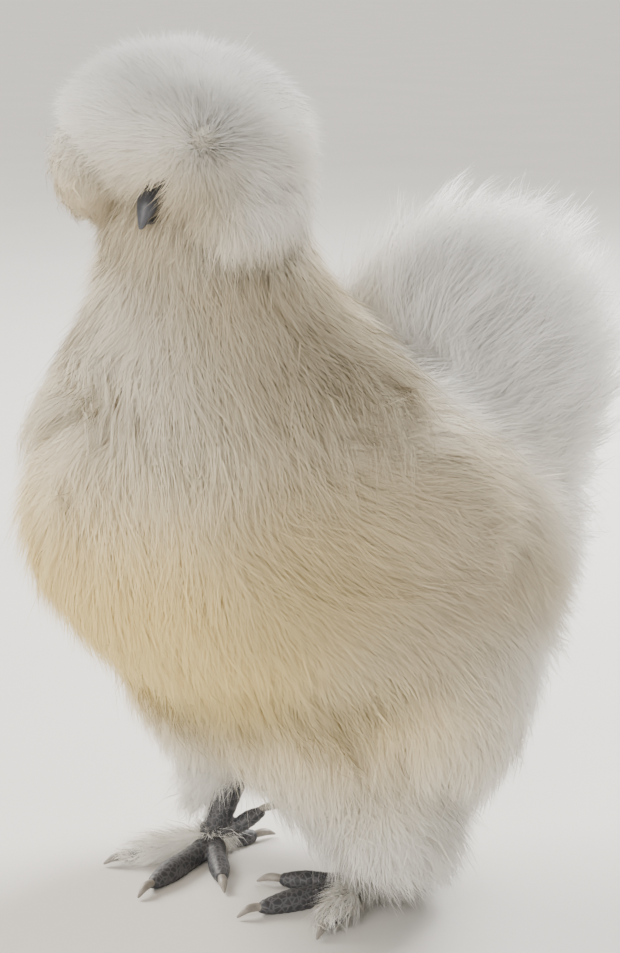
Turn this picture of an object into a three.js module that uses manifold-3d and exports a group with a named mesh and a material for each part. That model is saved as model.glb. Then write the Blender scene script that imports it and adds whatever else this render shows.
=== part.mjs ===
// A bearded silkie hen standing at rest: a still, life-size figure of a small, thickly fluffy domestic fowl.
// Millimetres, +Z up. The bird faces -Y, its left side is +X and it stands on Z = 0.
// Each sub-part is one closed solid, and sub-parts that touch keep a thin gap between their faces.
// Every fluffy sub-part has a firm body half as deep as its coat, and flat, tapered locks or vanes rooted in it
// that run with the lie of the plumage out to its tips.
import * as THREE from "three";
import Module from "manifold-3d";

const wasm = await Module();
wasm.setup();

const DEG = Math.PI / 180;

// Driving dimensions
const GAP = 0.35; // between neighbouring sub-parts
const ROOT_SINK = 3; // how deep the root of a lock sits in the body under it
const HIDDEN = 15; // a lock whose tip lies this deep in another coat is left out
const FLOOR_CLEARANCE = 0.8; // between the floor and the lowest feathers
const HEAD_AT = [0, -53, 269]; // middle of the skull, between the eyes
const HEAD_YAW = 34; // the head looks this many degrees to the bird's left
const HEAD_NOD = 10; // this many down
const HEAD_TILT = 12; // and leans this many over to its left
const EYE_RADIUS = 4.4;
const FEET = {
  left: { side: 1, at: [33.7, 5], heading: -10 },
  right: { side: -1, at: [-33.7, -17], heading: 20 },
};
const TOES = {
  1: { turn: 152, reach: 19, thick: 3.3, rise: 0 },
  2: { turn: 40, reach: 33, thick: 3.6, rise: 0 },
  3: { turn: 2, reach: 44, thick: 4, rise: 0 },
  4: { turn: -38, reach: 36, thick: 3.7, rise: 0 },
  5: { turn: 122, reach: 20, thick: 2.9, rise: 15 },
};
const CLAW_LENGTH = 9;
const SHANK_LEAN = 30; // how far behind the foot the hock stands
const HOCK_HEIGHT = 60;

// Finishes
const PLUMAGE = { color: 0xf6f1e4, roughness: 0.95 };
const DARK_SKIN = { color: 0x2e2c33, roughness: 0.7 };
const BEAK_HORN = { color: 0x43454e, roughness: 0.5 };
const CLAW_HORN = { color: 0x8a857c, roughness: 0.4 };
const COMB_SKIN = { color: 0x4a1c2a, roughness: 0.6 };
const EYE_GLOSS = { color: 0x16100e, roughness: 0.15 };

const vec = (p) => new THREE.Vector3(...p);
const SIDES = [["left", 1], ["right", -1]];

// Seeded random numbers from 0 to 1
function makeRandom(seed) {
  let state = seed;
  return () => {
    state = (state + 0x6d2b79f5) | 0;
    let t = Math.imul(state ^ (state >>> 15), 1 | state);
    t = (t + Math.imul(t ^ (t >>> 7), 61 | t)) ^ t;
    return ((t ^ (t >>> 14)) >>> 0) / 4294967296;
  };
}

// A smooth value of a short list of numbers, at s from 0 to 1 along it (uniform Catmull-Rom).
function along(list, s) {
  const last = list.length - 1;
  const at = Math.min(Math.max(s, 0), 1) * last;
  const i = Math.min(Math.floor(at), last - 1);
  const t = at - i;
  const [b, c] = [list[i], list[i + 1]];
  const a = i > 0 ? list[i - 1] : 2 * b - c;
  const d = i + 2 <= last ? list[i + 2] : 2 * c - b;
  return b + 0.5 * t * (c - a + t * (2 * a - 5 * b + 4 * c - d + t * (3 * (b - c) + d - a)));
}

// A manifold-3d solid of corners and triangles, turned to face out.
function solidOf(corners, faces) {
  const make = (tris) =>
    new wasm.Manifold(
      new wasm.Mesh({
        numProp: 3,
        vertProperties: Float32Array.from(corners.flatMap((c) => c.toArray())),
        triVerts: Uint32Array.from(tris.flat()),
      }),
    );
  const made = make(faces);
  return made.volume() < 0 ? make(faces.map(([a, b, c]) => [a, c, b])) : made;
}

const joined = (solids) => wasm.Manifold.union(solids);
const carved = (solid, cutters) => (cutters.length ? solid.subtract(joined(cutters)) : solid);
const largest = (solid) => solid.decompose().reduce((a, b) => (b.volume() > a.volume() ? b : a));

// A closed rounded body along a path. At each share s of the path its section is an ellipse with half axes wide
// (along the given side) and high, drawn in to a rounded end at both ends by a power of the sine of phi.
// phi runs from 0 at the first end to PI at the last, and theta from 0 round the section, starting on its side.
class Form {
  constructor({ path, wide, high, side = [1, 0, 0], blunt = 0.7 }) {
    Object.assign(this, { path, wide, high, blunt });
    this.side = vec(side);
    this.axes = [0, 1, 2].map((k) => path.map((p) => p[k]));
  }

  centre(s) {
    return vec(this.axes.map((list) => along(list, s)));
  }

  heading(s) {
    return this.centre(Math.min(s + 0.02, 1)).sub(this.centre(Math.max(s - 0.02, 0))).normalize();
  }

  // The same body with its section and ends moved out by a distance, or in where it is negative.
  grown(by) {
    const path = this.path.map((p) => [...p]);
    const last = path.length - 1;
    path[0] = this.centre(0).addScaledVector(this.heading(0), -by).toArray();
    path[last] = this.centre(1).addScaledVector(this.heading(1), by).toArray();
    const [wide, high] = [this.wide, this.high].map((list) => list.map((size) => size + by));
    return new Form({ path, wide, high, side: this.side.toArray(), blunt: this.blunt });
  }

  surface(phi, theta) {
    const s = (1 - Math.cos(phi)) / 2;
    const ahead = this.heading(s);
    const up = this.side.clone().cross(ahead).normalize();
    const across = ahead.clone().cross(up);
    const draw = Math.pow(Math.max(Math.sin(phi), 0), this.blunt);
    return this.centre(s)
      .addScaledVector(across, draw * along(this.wide, s) * Math.cos(theta))
      .addScaledVector(up, draw * along(this.high, s) * Math.sin(theta));
  }

  // The slopes of the surface along phi and theta.
  slopes(phi, theta) {
    const e = 1e-3;
    const p = Math.min(Math.max(phi, 0.03), Math.PI - 0.03);
    return [
      this.surface(p + e, theta).sub(this.surface(p - e, theta)).divideScalar(2 * e),
      this.surface(p, theta + e).sub(this.surface(p, theta - e)).divideScalar(2 * e),
    ];
  }

  normal(phi, theta) {
    const [a, b] = this.slopes(phi, theta);
    const n = a.cross(b).normalize();
    const inside = this.centre(0.1 + 0.4 * (1 - Math.cos(phi)));
    return n.dot(this.surface(phi, theta).sub(inside)) < 0 ? n.negate() : n;
  }

  // The surface moved out along its normal by lift.
  point(phi, theta, lift = 0) {
    return this.surface(phi, theta).addScaledVector(this.normal(phi, theta), lift);
  }

  // Where a step of the given length along a direction leads on the surface.
  step(phi, theta, way, length) {
    const [a, b] = this.slopes(phi, theta);
    const [aa, ab, bb] = [a.dot(a), a.dot(b), b.dot(b)];
    const [wa, wb] = [way.dot(a), way.dot(b)];
    const spread = aa * bb - ab * ab;
    const [da, db] = [(wa * bb - wb * ab) / spread, (wb * aa - wa * ab) / spread];
    const run = a.multiplyScalar(da).addScaledVector(b, db).length();
    const share = run > 1e-9 ? length / run : 0;
    const [nextPhi, nextTheta] = [phi + da * share, theta + db * share];
    if (nextPhi < 0) return [-nextPhi, nextTheta + Math.PI];
    if (nextPhi > Math.PI) return [2 * Math.PI - nextPhi, nextTheta + Math.PI];
    return [nextPhi, nextTheta];
  }

  // Whether a point lies inside the body moved out by lift.
  holds(point, lift = 0) {
    let [low, high] = [0, 1];
    for (let i = 0; i < 16; i++) {
      const s = (low + high) / 2;
      const past = point.clone().sub(this.centre(s)).dot(this.heading(s));
      if (past > 0) low = s;
      else high = s;
    }
    const s = (low + high) / 2;
    const ahead = this.heading(s);
    const from = point.clone().sub(this.centre(s));
    const beyond = Math.abs(from.dot(ahead));
    const draw = Math.pow(Math.max(Math.sin(Math.acos(1 - 2 * s)), 1e-6), this.blunt);
    const up = this.side.clone().cross(ahead).normalize();
    const across = ahead.clone().cross(up);
    const x = from.dot(across) / (draw * along(this.wide, s) + lift);
    const y = from.dot(up) / (draw * along(this.high, s) + lift);
    return beyond < 1 + Math.max(lift, 0) && x * x + y * y < 1;
  }

  // A closed faceted body, its rings turned by half a facet in turn.
  solid({ lift = 0, rings = 12, sides = 16 } = {}) {
    const corners = [];
    for (let i = 1; i < rings; i++) {
      for (let j = 0; j < sides; j++) {
        corners.push(this.point((Math.PI * i) / rings, (Math.PI * (2 * j + ((i + 1) % 2))) / sides, lift));
      }
    }
    corners.push(this.centre(0).addScaledVector(this.heading(0), -lift));
    corners.push(this.centre(1).addScaledVector(this.heading(1), lift));
    const first = corners.length - 2;
    const lastRing = (rings - 2) * sides;
    const faces = [];
    for (let j = 0; j < sides; j++) {
      const k = (j + 1) % sides;
      faces.push([first, k, j]);
      for (let i = 0; i < rings - 2; i++) {
        const [a, b] = [i * sides, (i + 1) * sides];
        if (i % 2 === 0) faces.push([a + j, a + k, b + j], [a + k, b + k, b + j]);
        else faces.push([a + j, b + k, b + j], [a + j, a + k, b + k]);
      }
      faces.push([first + 1, lastRing + j, lastRing + k]);
    }
    return solidOf(corners, faces);
  }

  // Seats for locks: staggered rows, set out evenly by their pitch along the path and round it.
  seats([pitchAlong, pitchRound], random) {
    const found = [];
    const slices = 120;
    let reached = 0.5 * pitchAlong;
    let row = 0;
    for (let i = 1; i < slices; i++) {
      const phi = (Math.PI * i) / slices;
      const rise = [0, 1, 2, 3].map((k) => this.slopes(phi, (k * Math.PI) / 2)[0].length());
      reached += (Math.PI / slices) * (rise.reduce((a, b) => a + b) / 4);
      if (reached < pitchAlong) continue;
      reached -= pitchAlong;
      row += 1;
      const girths = [0, 1, 2, 3, 4, 5].map((k) => this.slopes(phi, (k * Math.PI) / 3)[1].length());
      const girth = (2 * Math.PI * girths.reduce((a, b) => a + b)) / 6;
      const count = Math.max(3, Math.round(girth / pitchRound));
      for (let j = 0; j < count; j++) {
        const sway = (random() - 0.5) * 0.35;
        const slip = ((random() - 0.5) * 0.3 * pitchAlong) / (rise.reduce((a, b) => a + b) / 4);
        found.push([phi + slip, (2 * Math.PI * (j + sway + (row % 2) / 2)) / count]);
      }
    }
    return found;
  }
}

// A lock is three-cornered across, flat beneath with a low ridge. A vane is four-cornered and ends bluntly.
// corners are steps across and up in shares of half the width and of the thickness, and each share of the
// length in shares has its width and thickness beside it.
const LOCK = {
  corners: [[-1, 0], [0, 1], [1, 0]],
  shares: [0, 0.4, 0.75],
  widths: [0.4, 1, 0.72],
  thicks: [1, 1, 0.6],
};
const VANE = {
  corners: [[-1, 0], [0, 0.6], [1, 0], [0, -0.4]],
  shares: [0, 0.4, 0.8],
  widths: [0.3, 0.8, 1],
  thicks: [1, 1, 0.8],
};

// The line of a lock whose tip lies at a seat on a form: traced back against the lie of the coat for its length,
// or most of the way to the place that the lie comes from, and sunk from the tip down into the body. Where the
// lie leads straight out of the form the trace is shorter, so that the lock stands up.
function lockLine(form, body, [tipPhi, tipTheta], { length, depth, tip, lie, source }) {
  const steps = 10;
  const trace = [[tipPhi, tipTheta]];
  const reach = source ? Math.min(length, 0.75 * source.distanceTo(form.surface(tipPhi, tipTheta))) : length;
  for (let i = 0; i < steps; i++) {
    const [phi, theta] = trace[i];
    const back = lie(form.surface(phi, theta)).normalize().negate();
    const flat = Math.max(Math.sqrt(1 - back.dot(form.normal(phi, theta)) ** 2), 0.4);
    trace.push(form.step(phi, theta, back, (flat * reach) / steps));
  }
  trace.reverse();
  const root = rootLift(form, trace[0], body, depth / 2);
  if (root === null) return null;
  return trace.map(([phi, theta], i) => {
    const out = form.normal(phi, theta);
    const lift = root + (tip - root) * Math.pow(i / steps, 0.75);
    return { at: form.surface(phi, theta).addScaledVector(out, lift), out };
  });
}

// How deep under a place on a form the root of a lock is sunk in the body, or null where there is no body.
function rootLift(form, [phi, theta], body, depth) {
  const [spot, out] = [form.surface(phi, theta), form.normal(phi, theta)];
  for (let lift = -depth; lift > -2.5 * depth - ROOT_SINK; lift -= 1) {
    if (body.holds(spot.clone().addScaledVector(out, lift), -ROOT_SINK)) return lift;
  }
  return null;
}

// A lock or vane along its line, made larger on every side by the margin.
function lockSolid(line, kind, [width, thick], margin = 0) {
  const last = line.length - 1;
  const ringSize = kind.corners.length;
  const ringCount = kind.shares.length;
  const corners = [];
  kind.shares.forEach((share, ring) => {
    const i = Math.round(share * last);
    const ahead = line[Math.min(i + 1, last)].at.clone().sub(line[Math.max(i - 1, 0)].at).normalize();
    const across = ahead.clone().cross(line[i].out).normalize();
    const up = across.clone().cross(ahead);
    const half = (width / 2) * kind.widths[ring] + 2.5 * margin;
    const rise = thick * kind.thicks[ring];
    for (const [x, y] of kind.corners) {
      const height = rise * y + margin * (y > 0 ? 2 : -1);
      corners.push(line[i].at.clone().addScaledVector(across, x * half).addScaledVector(up, height));
    }
  });
  const end = line[last].at.clone();
  corners.push(end.add(end.clone().sub(line[last - 1].at).setLength(3 * margin)));
  const tip = corners.length - 1;
  const faces = [];
  for (let i = 1; i < ringSize - 1; i++) faces.push([0, i + 1, i]);
  for (let i = 0; i < ringSize; i++) {
    const j = (i + 1) % ringSize;
    for (let ring = 0; ring < ringCount - 1; ring++) {
      const [a, b] = [ring * ringSize, (ring + 1) * ringSize];
      if (i < 2) faces.push([a + i, a + j, b + j], [a + i, b + j, b + i]);
      else faces.push([a + i, a + j, b + i], [a + j, b + j, b + i]);
    }
    faces.push([tip - ringSize + i, tip - ringSize + j, tip]);
  }
  return solidOf(corners, faces);
}

// Head, in its own frame: forward along the beak, left, and up from the middle of the skull
const facing = new THREE.Matrix4()
  .makeTranslation(...HEAD_AT)
  .multiply(new THREE.Matrix4().makeRotationZ(HEAD_YAW * DEG))
  .multiply(new THREE.Matrix4().makeRotationX(HEAD_NOD * DEG))
  .multiply(new THREE.Matrix4().makeRotationY(HEAD_TILT * DEG));
const inHead = (forward, left, up) => new THREE.Vector3(left, -forward, up).applyMatrix4(facing).toArray();
const headLeft = new THREE.Vector3(1, 0, 0).transformDirection(facing).toArray();

const skull = new Form({
  path: [inHead(-20, 0, 1), inHead(-2, 0, 1), inHead(17, 0, -1)],
  wide: [13, 14, 8.5],
  high: [13, 16, 9.5],
  side: headLeft,
  blunt: 0.75,
});
const upperBeak = new Form({
  path: [inHead(11, 0, 1), inHead(19, 0, 2), inHead(27, 0, 0), inHead(32, 0, -7)],
  wide: [6.5, 6, 4.2, 1.4],
  high: [6, 5, 3.6, 1.2],
  side: headLeft,
  blunt: 0.5,
});
const lowerBeak = new Form({
  path: [inHead(11, 0, -6), inHead(19, 0, -5.5), inHead(27, 0, -6)],
  wide: [5.5, 4.6, 2],
  high: [3.2, 2.8, 1.6],
  side: headLeft,
  blunt: 0.5,
});
const nostril = (side) =>
  new Form({
    path: [inHead(18.5, 6.5 * side, 4.6), inHead(19.5, 2.5 * side, 3.6)],
    wide: [1.9, 1.9],
    high: [1.1, 1.1],
    side: new THREE.Vector3(0, -1, 0).transformDirection(facing).toArray(),
    blunt: 0.4,
  });
const eyeball = (side) =>
  new Form({
    path: [inHead(6, (10.2 - EYE_RADIUS) * side, 2.5), inHead(6, (10.2 + EYE_RADIUS) * side, 2.5)],
    wide: [EYE_RADIUS, EYE_RADIUS],
    high: [EYE_RADIUS, EYE_RADIUS],
    side: [0, 0, 1],
    blunt: 1,
  });
const combLobes = [[17, 0, 7, 4.2], [12.5, 3.6, 10.5, 4.4], [12.5, -3.6, 10.5, 4.4], [8, 0, 14, 4.6]];

// The ring of lids round an eye: a round bead that stands up from the skull.
function eyelids(side, margin = 0) {
  const [count, bead] = [10, 4];
  const corners = [];
  for (let i = 0; i < count; i++) {
    const a = (2 * Math.PI * i) / count;
    for (let j = 0; j < bead; j++) {
      const b = (2 * Math.PI * j) / bead;
      const reach = EYE_RADIUS + 0.6 + (1.2 + margin) * Math.cos(b);
      const opening = 0.8 * reach * Math.sin(a);
      const stand = 12 + (1.5 + margin) * Math.sin(b);
      corners.push(vec(inHead(6 + reach * Math.cos(a), stand * side, 2.5 + opening)));
    }
  }
  const faces = [];
  for (let i = 0; i < count; i++) {
    for (let j = 0; j < bead; j++) {
      const [a, b] = [i * bead, ((i + 1) % count) * bead];
      const k = (j + 1) % bead;
      faces.push([a + j, b + j, b + k], [a + j, b + k, a + k]);
    }
  }
  return solidOf(corners, faces);
}

// Plumage forms, out to the tips of the coat
const crest = new Form({
  path: [inHead(-1, 0, 49), inHead(-2, 0, 22), inHead(-4, 0, -10)],
  wide: [40, 49, 43],
  high: [39, 46, 42],
  side: headLeft,
  blunt: 0.52,
});
const beard = new Form({
  path: [inHead(8, 0, -1), inHead(8, 0, -17), inHead(5, 0, -33)],
  wide: [18, 23, 18],
  high: [15, 20, 15],
  side: headLeft,
  blunt: 0.65,
});
const muff = (side) =>
  new Form({
    path: [inHead(-3, 22 * side, 22), inHead(1, 27 * side, 0), inHead(0, 20 * side, -25)],
    wide: [20, 23, 19],
    high: [30, 33, 26],
    side: headLeft,
    blunt: 0.65,
  });
const neck = new Form({
  path: [[0, -50, 280], [0, -42, 244], [0, -42, 200], [0, -40, 150]],
  wide: [28, 38, 53, 70],
  high: [30, 39, 55, 68],
  blunt: 0.5,
});
const torso = new Form({
  path: [[0, -110, 166], [0, -62, 152], [0, -4, 143], [0, 56, 127], [0, 127, 108]],
  wide: [55, 78, 80, 78, 60],
  high: [54, 72, 76, 69, 50],
  blunt: 0.58,
});
const wing = (side) =>
  new Form({
    path: [[45 * side, -58, 182], [57 * side, -22, 171], [60 * side, 14, 155], [61 * side, 50, 137]],
    wide: [16, 22, 22, 14],
    high: [24, 32, 28, 15],
    blunt: 0.5,
  });
const tail = new Form({
  path: [[0, 16, 182], [0, 88, 186], [0, 155, 171]],
  wide: [40, 43, 32],
  high: [58, 73, 58],
  blunt: 0.6,
});
const thigh = {
  left: new Form({
    path: [[40, 18, 124], [42, 31, 84], [38, 23, 50], [35, 12, 20]],
    wide: [28, 37, 35, 25],
    high: [36, 54, 43, 30],
    blunt: 0.5,
  }),
  right: new Form({
    path: [[-40, -2, 124], [-40, -6, 84], [-37, -8, 52], [-35, -10, 26]],
    wide: [28, 37, 32, 20],
    high: [36, 46, 36, 23],
    blunt: 0.5,
  }),
};

// A foot, seen from its own toes: turned from straight ahead to the inside, forward, and up
function onFoot({ side, at, heading }, turn, forward, up) {
  const angle = (heading - side * turn) * DEG;
  return [at[0] + Math.sin(angle) * forward, at[1] - Math.cos(angle) * forward, up];
}
const toe = (foot, { turn, reach, thick, rise }) =>
  new Form({
    path: [
      onFoot(foot, turn, -5, 4.6 + rise * 0.2),
      onFoot(foot, turn, reach * 0.35, 3.3 + rise * 0.4),
      onFoot(foot, turn, reach * 0.7, thick * 0.8 + rise * 0.75),
      onFoot(foot, turn, reach, thick * 0.75 + rise),
    ],
    wide: [6, thick, thick * 1.05, thick * 0.75],
    high: [6, thick, thick * 1.05, thick * 0.75],
    side: [0, 0, 1],
    blunt: 0.4,
  });
const claw = (foot, { turn, reach, thick, rise }) =>
  new Form({
    path: [
      onFoot(foot, turn, reach - 2, thick * 0.85 + rise),
      onFoot(foot, turn, reach + CLAW_LENGTH * 0.45, thick * 0.9 + rise * 1.1),
      onFoot(foot, turn, reach + CLAW_LENGTH, 1.1 + rise * 1.15),
    ],
    wide: [1.7, 1.5, 0.6],
    high: [1.9, 1.7, 0.6],
    side: [0, 0, 1],
    blunt: 0.4,
  });
const shank = ({ at: [x, y] }) =>
  new Form({
    path: [
      [x * 1.06, y + SHANK_LEAN, HOCK_HEIGHT],
      [x * 1.04, y + SHANK_LEAN * 0.72, HOCK_HEIGHT * 0.75],
      [x * 1.01, y + SHANK_LEAN * 0.3, HOCK_HEIGHT * 0.42],
      [x, y, 8],
    ],
    wide: [6.5, 5.6, 5, 5.6],
    high: [7, 6, 5.4, 5.8],
    blunt: 0.3,
  });

// The lie of the plumage: the way that it runs over a form, from a place on it and the way out of it
const downward = new THREE.Vector3(0, 0, -1);
const away = (from, pull) => (at) => at.clone().sub(from).normalize().add(pull);
const overBody = ({ x, y }) => new THREE.Vector3(x / 260, 1.1 * THREE.MathUtils.smoothstep(y, -100, -10), -0.75);
const downNeck = (at) => new THREE.Vector3(0, (at.y + 45) / 120, -1);
const downLeg = (at) => new THREE.Vector3(at.x / 300, 0.25, -1);
const backAlongWing = () => new THREE.Vector3(0, 1, -0.42);
const whorl = vec(inHead(31, 8, 42));
const fromWhorl = away(whorl, new THREE.Vector3(0, 0, -0.15));
const tailRoot = new THREE.Vector3(0, 18, 150);
const fromTailRoot = away(tailRoot, new THREE.Vector3(0, 0, 0.1));

// Coats: how deep each is from skin to tips, how far apart the tips of its locks lie along and round the form,
// the length, width and thickness of a lock, and how far its tip may stand out
const COATS = {
  crest: { depth: 32, pitch: [18, 23], size: [27, 23, 3], kind: VANE, tip: 2.5 },
  muff: { depth: 16, pitch: [16, 19], size: [24, 18, 3], kind: LOCK, tip: 1.5 },
  beard: { depth: 14, pitch: [13, 15], size: [22, 14, 3], kind: LOCK, tip: 1.5 },
  neck: { depth: 20, pitch: [23, 26], size: [42, 25, 3.4], kind: LOCK, tip: 2 },
  tail: { depth: 46, pitch: [27, 30], size: [60, 29, 3.4], kind: VANE, tip: 3 },
  wing: { depth: 12, pitch: [24, 20], size: [44, 20, 2.6], kind: VANE, tip: 1 },
  torso: { depth: 32, pitch: [30, 35], size: [53, 35, 4.5], kind: LOCK, tip: 2 },
  thigh: { depth: 20, pitch: [24, 29], size: [40, 28, 3.6], kind: LOCK, tip: 1.5 },
  leg: { depth: 26, pitch: [13, 15], size: [26, 12, 2], kind: VANE, tip: 1.5 },
  toe: { depth: 16, pitch: [14, 15], size: [20, 11, 1.8], kind: VANE, tip: 1 },
};
const plumageForms = [
  crest,
  beard,
  ...SIDES.flatMap(([name, side]) => [muff(side), wing(side), thigh[name]]),
  neck,
  torso,
  tail,
];

// How a lock gives way to what it would touch: its share of its length, how far its tip is pressed down, in
// shares of the depth of the coat, and its share of its width
const GIVE_WAY = [
  [1, 0, 1],
  [1, 0.1, 1],
  [0.8, 0, 1],
  [0.8, -0.1, 1],
  [0.7, 0.2, 0.9],
  [0.6, 0, 0.85],
  [0.6, 0.3, 0.8],
  [0.45, 0, 0.7],
  [0.45, 0.3, 0.7],
];

// Sub-parts, in the order in which they claim their space
const nodes = new Map();
const claim = (name, solid, look) => nodes.set(name, { solid: largest(solid), look });
const fat = (form, rings, sides) => form.solid({ lift: GAP, rings, sides });

function aboveFloor(solid) {
  const box = new THREE.BoxGeometry(600, 600, 100).translate(0, 0, -50);
  const { array, count } = box.getAttribute("position");
  const corners = [];
  const numbers = [];
  for (let i = 0; i < count; i++) {
    const corner = vec(array.slice(3 * i, 3 * i + 3));
    const known = corners.findIndex((c) => c.distanceTo(corner) < 1e-6);
    numbers.push(known < 0 ? corners.push(corner) - 1 : known);
  }
  const faces = [];
  for (let i = 0; i < box.index.count; i += 3) {
    faces.push([0, 1, 2].map((k) => numbers[box.index.array[i + k]]));
  }
  return solid.subtract(solidOf(corners, faces));
}

function touches(one, other) {
  const [a, b] = [one.boundingBox(), other.boundingBox()];
  if ([0, 1, 2].some((k) => a.min[k] > b.max[k] || a.max[k] < b.min[k])) return false;
  return !one.intersect(other).isEmpty();
}

// Whether a solid keeps clear of the floor and of every sub-part but its own.
function isClear(solid, own) {
  if (solid.boundingBox().min[2] < FLOOR_CLEARANCE) return false;
  return ![...nodes].some(([name, { solid: other }]) => name !== own && touches(solid, other));
}

// Fuses a coat of locks with a sub-part. Outside its body each keeps clear of the others.
function dress(name, { form, pitch, size, kind, seed, where = () => true, ...coat }) {
  const random = makeRandom(seed);
  const vary = () => 0.85 + 0.3 * random();
  const body = form.grown(-coat.depth / 2);
  const bare = nodes.get(name).solid;
  const locks = [];
  const blades = [];
  for (const seat of form.seats(pitch, random)) {
    const [length, width, stand] = [size[0] * vary(), size[1] * vary(), coat.tip * (2 * random() - 0.6)];
    const spot = form.surface(...seat);
    if (!where(spot)) continue;
    if (plumageForms.some((other) => other !== form && other.holds(spot, -HIDDEN))) continue;
    for (const [share, press, slim] of GIVE_WAY) {
      const tip = stand - press * coat.depth;
      const line = lockLine(form, body, seat, { ...coat, length: length * share, tip });
      if (!line) continue;
      const lock = lockSolid(line, kind, [width * slim, size[2]]);
      const wide = lockSolid(line, kind, [width * slim, size[2]], GAP);
      if (!isClear(wide, name) || !isClear(lock, name)) continue;
      const outside = wide.subtract(bare);
      if (blades.some((other) => touches(outside, other))) continue;
      if (lock.intersect(bare).volume() < ROOT_SINK) continue;
      blades.push(lock.subtract(bare));
      locks.push(lock);
      break;
    }
  }
  nodes.get(name).solid = largest(joined([bare, ...locks]));
}

// Head, eyes, beak and comb
const beakCutter = fat(upperBeak, 8, 8);
for (const [name, side] of SIDES) claim("eye_" + name, eyeball(side).solid({ rings: 6, sides: 10 }), EYE_GLOSS);
const nostrils = SIDES.map(([, side]) => nostril(side).solid({ rings: 4, sides: 6 }));
claim("beak_upper", carved(upperBeak.solid({ rings: 8, sides: 8 }), nostrils), BEAK_HORN);
claim("beak_lower", carved(lowerBeak.solid({ rings: 6, sides: 8 }), [beakCutter]), BEAK_HORN);
const faceCutters = [beakCutter, fat(lowerBeak, 6, 8), ...SIDES.map(([, side]) => fat(eyeball(side), 6, 10))];
const lids = SIDES.map(([, side]) => eyelids(side));
claim("head", carved(joined([skull.solid({ rings: 8, sides: 12 }), ...lids]), faceCutters), DARK_SKIN);
const headCutters = [...faceCutters, fat(skull, 8, 12), ...SIDES.map(([, side]) => eyelids(side, 2 * GAP))];
const lobes = combLobes.map(([forward, left, up, radius]) =>
  new Form({
    path: [inHead(forward, left, up - radius), inHead(forward, left, up + radius)],
    wide: [radius, radius],
    high: [radius, radius],
    side: headLeft,
    blunt: 1,
  }),
);
claim("comb", carved(joined(lobes.map((lobe) => lobe.solid({ rings: 4, sides: 6 }))), headCutters), COMB_SKIN);

// Firm bodies under the coats, in turn cut clear of those before
const faceOpening = new Form({
  path: [inHead(-6, 0, 4), inHead(18, 0, 2), inHead(42, 0, 0)],
  wide: [16, 18, 19],
  high: [18, 18.5, 17],
  side: headLeft,
  blunt: 0.3,
}).solid({ rings: 6, sides: 12 });
const bodies = [
  ["torso", torso, COATS.torso, 12, 18],
  ["crest", crest, COATS.crest, 8, 14],
  ["beard", beard, COATS.beard, 6, 10],
  ...SIDES.map(([name, side]) => ["muff_" + name, muff(side), COATS.muff, 7, 10]),
  ["neck", neck, COATS.neck, 8, 14],
  ["tail", tail, COATS.tail, 8, 14],
  ...SIDES.map(([name, side]) => ["wing_" + name, wing(side), COATS.wing, 7, 10]),
  ...SIDES.map(([name]) => ["thigh_" + name, thigh[name], COATS.thigh, 7, 12]),
];
const bodyCutters = [fat(skull, 8, 12), faceOpening];
for (const [name, form, coat, rings, sides] of bodies) {
  const body = form.grown(-coat.depth / 2);
  claim(name, carved(body.solid({ rings, sides }), bodyCutters), PLUMAGE);
  bodyCutters.push(fat(body, rings, sides));
}

// Legs and feet
for (const [name] of SIDES) {
  const foot = FEET[name];
  const leg = shank(foot);
  claim("shank_" + name, aboveFloor(carved(leg.solid({ rings: 8, sides: 8 }), bodyCutters)), DARK_SKIN);
  const claws = Object.entries(TOES).map(([number, sizes]) => {
    const form = claw(foot, sizes);
    claim(`claw_${name}_${number}`, aboveFloor(form.solid({ rings: 5, sides: 6 })), CLAW_HORN);
    return fat(form, 5, 6);
  });
  const legCutters = [fat(leg, 8, 8), ...bodyCutters, ...claws];
  const toes = Object.fromEntries(Object.entries(TOES).map(([number, sizes]) => [number, toe(foot, sizes)]));
  const { 4: outer, ...inner } = toes;
  const inside = joined(Object.values(inner).map((form) => form.solid({ rings: 6, sides: 6 })));
  claim("foot_" + name, aboveFloor(carved(inside, legCutters)), DARK_SKIN);
  const insideCutters = Object.values(inner).map((form) => fat(form, 6, 6));
  const outside = carved(outer.solid({ rings: 6, sides: 6 }), [...legCutters, ...insideCutters]);
  claim("outer_toe_" + name, aboveFloor(outside), DARK_SKIN);
}

// Coats
dress("neck", { ...COATS.neck, form: neck, lie: downNeck, seed: 41 });
const face = vec(inHead(40, 0, -6));
const offFace = (spot) => spot.distanceTo(face) > 20;
dress("crest", { ...COATS.crest, form: crest, lie: fromWhorl, source: whorl, seed: 11, where: offFace });
dress("beard", { ...COATS.beard, form: beard, lie: away(vec(inHead(6, 0, 14)), downward), seed: 31 });
for (const [name, side] of SIDES) {
  const cheek = vec(inHead(6, 8 * side, 20));
  dress("muff_" + name, { ...COATS.muff, form: muff(side), lie: away(cheek, downward), seed: 21 + side });
}
for (const [name, side] of SIDES) {
  const where = (spot) => Math.abs(spot.x) > 58;
  dress("wing_" + name, { ...COATS.wing, form: wing(side), lie: backAlongWing, seed: 51 + side, where });
}
dress("tail", { ...COATS.tail, form: tail, lie: fromTailRoot, source: tailRoot, seed: 61 });
dress("torso", { ...COATS.torso, form: torso, lie: overBody, seed: 71 });
for (const [name, side] of SIDES) {
  dress("thigh_" + name, { ...COATS.thigh, form: thigh[name], lie: downLeg, seed: 81 + side });
}
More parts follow.
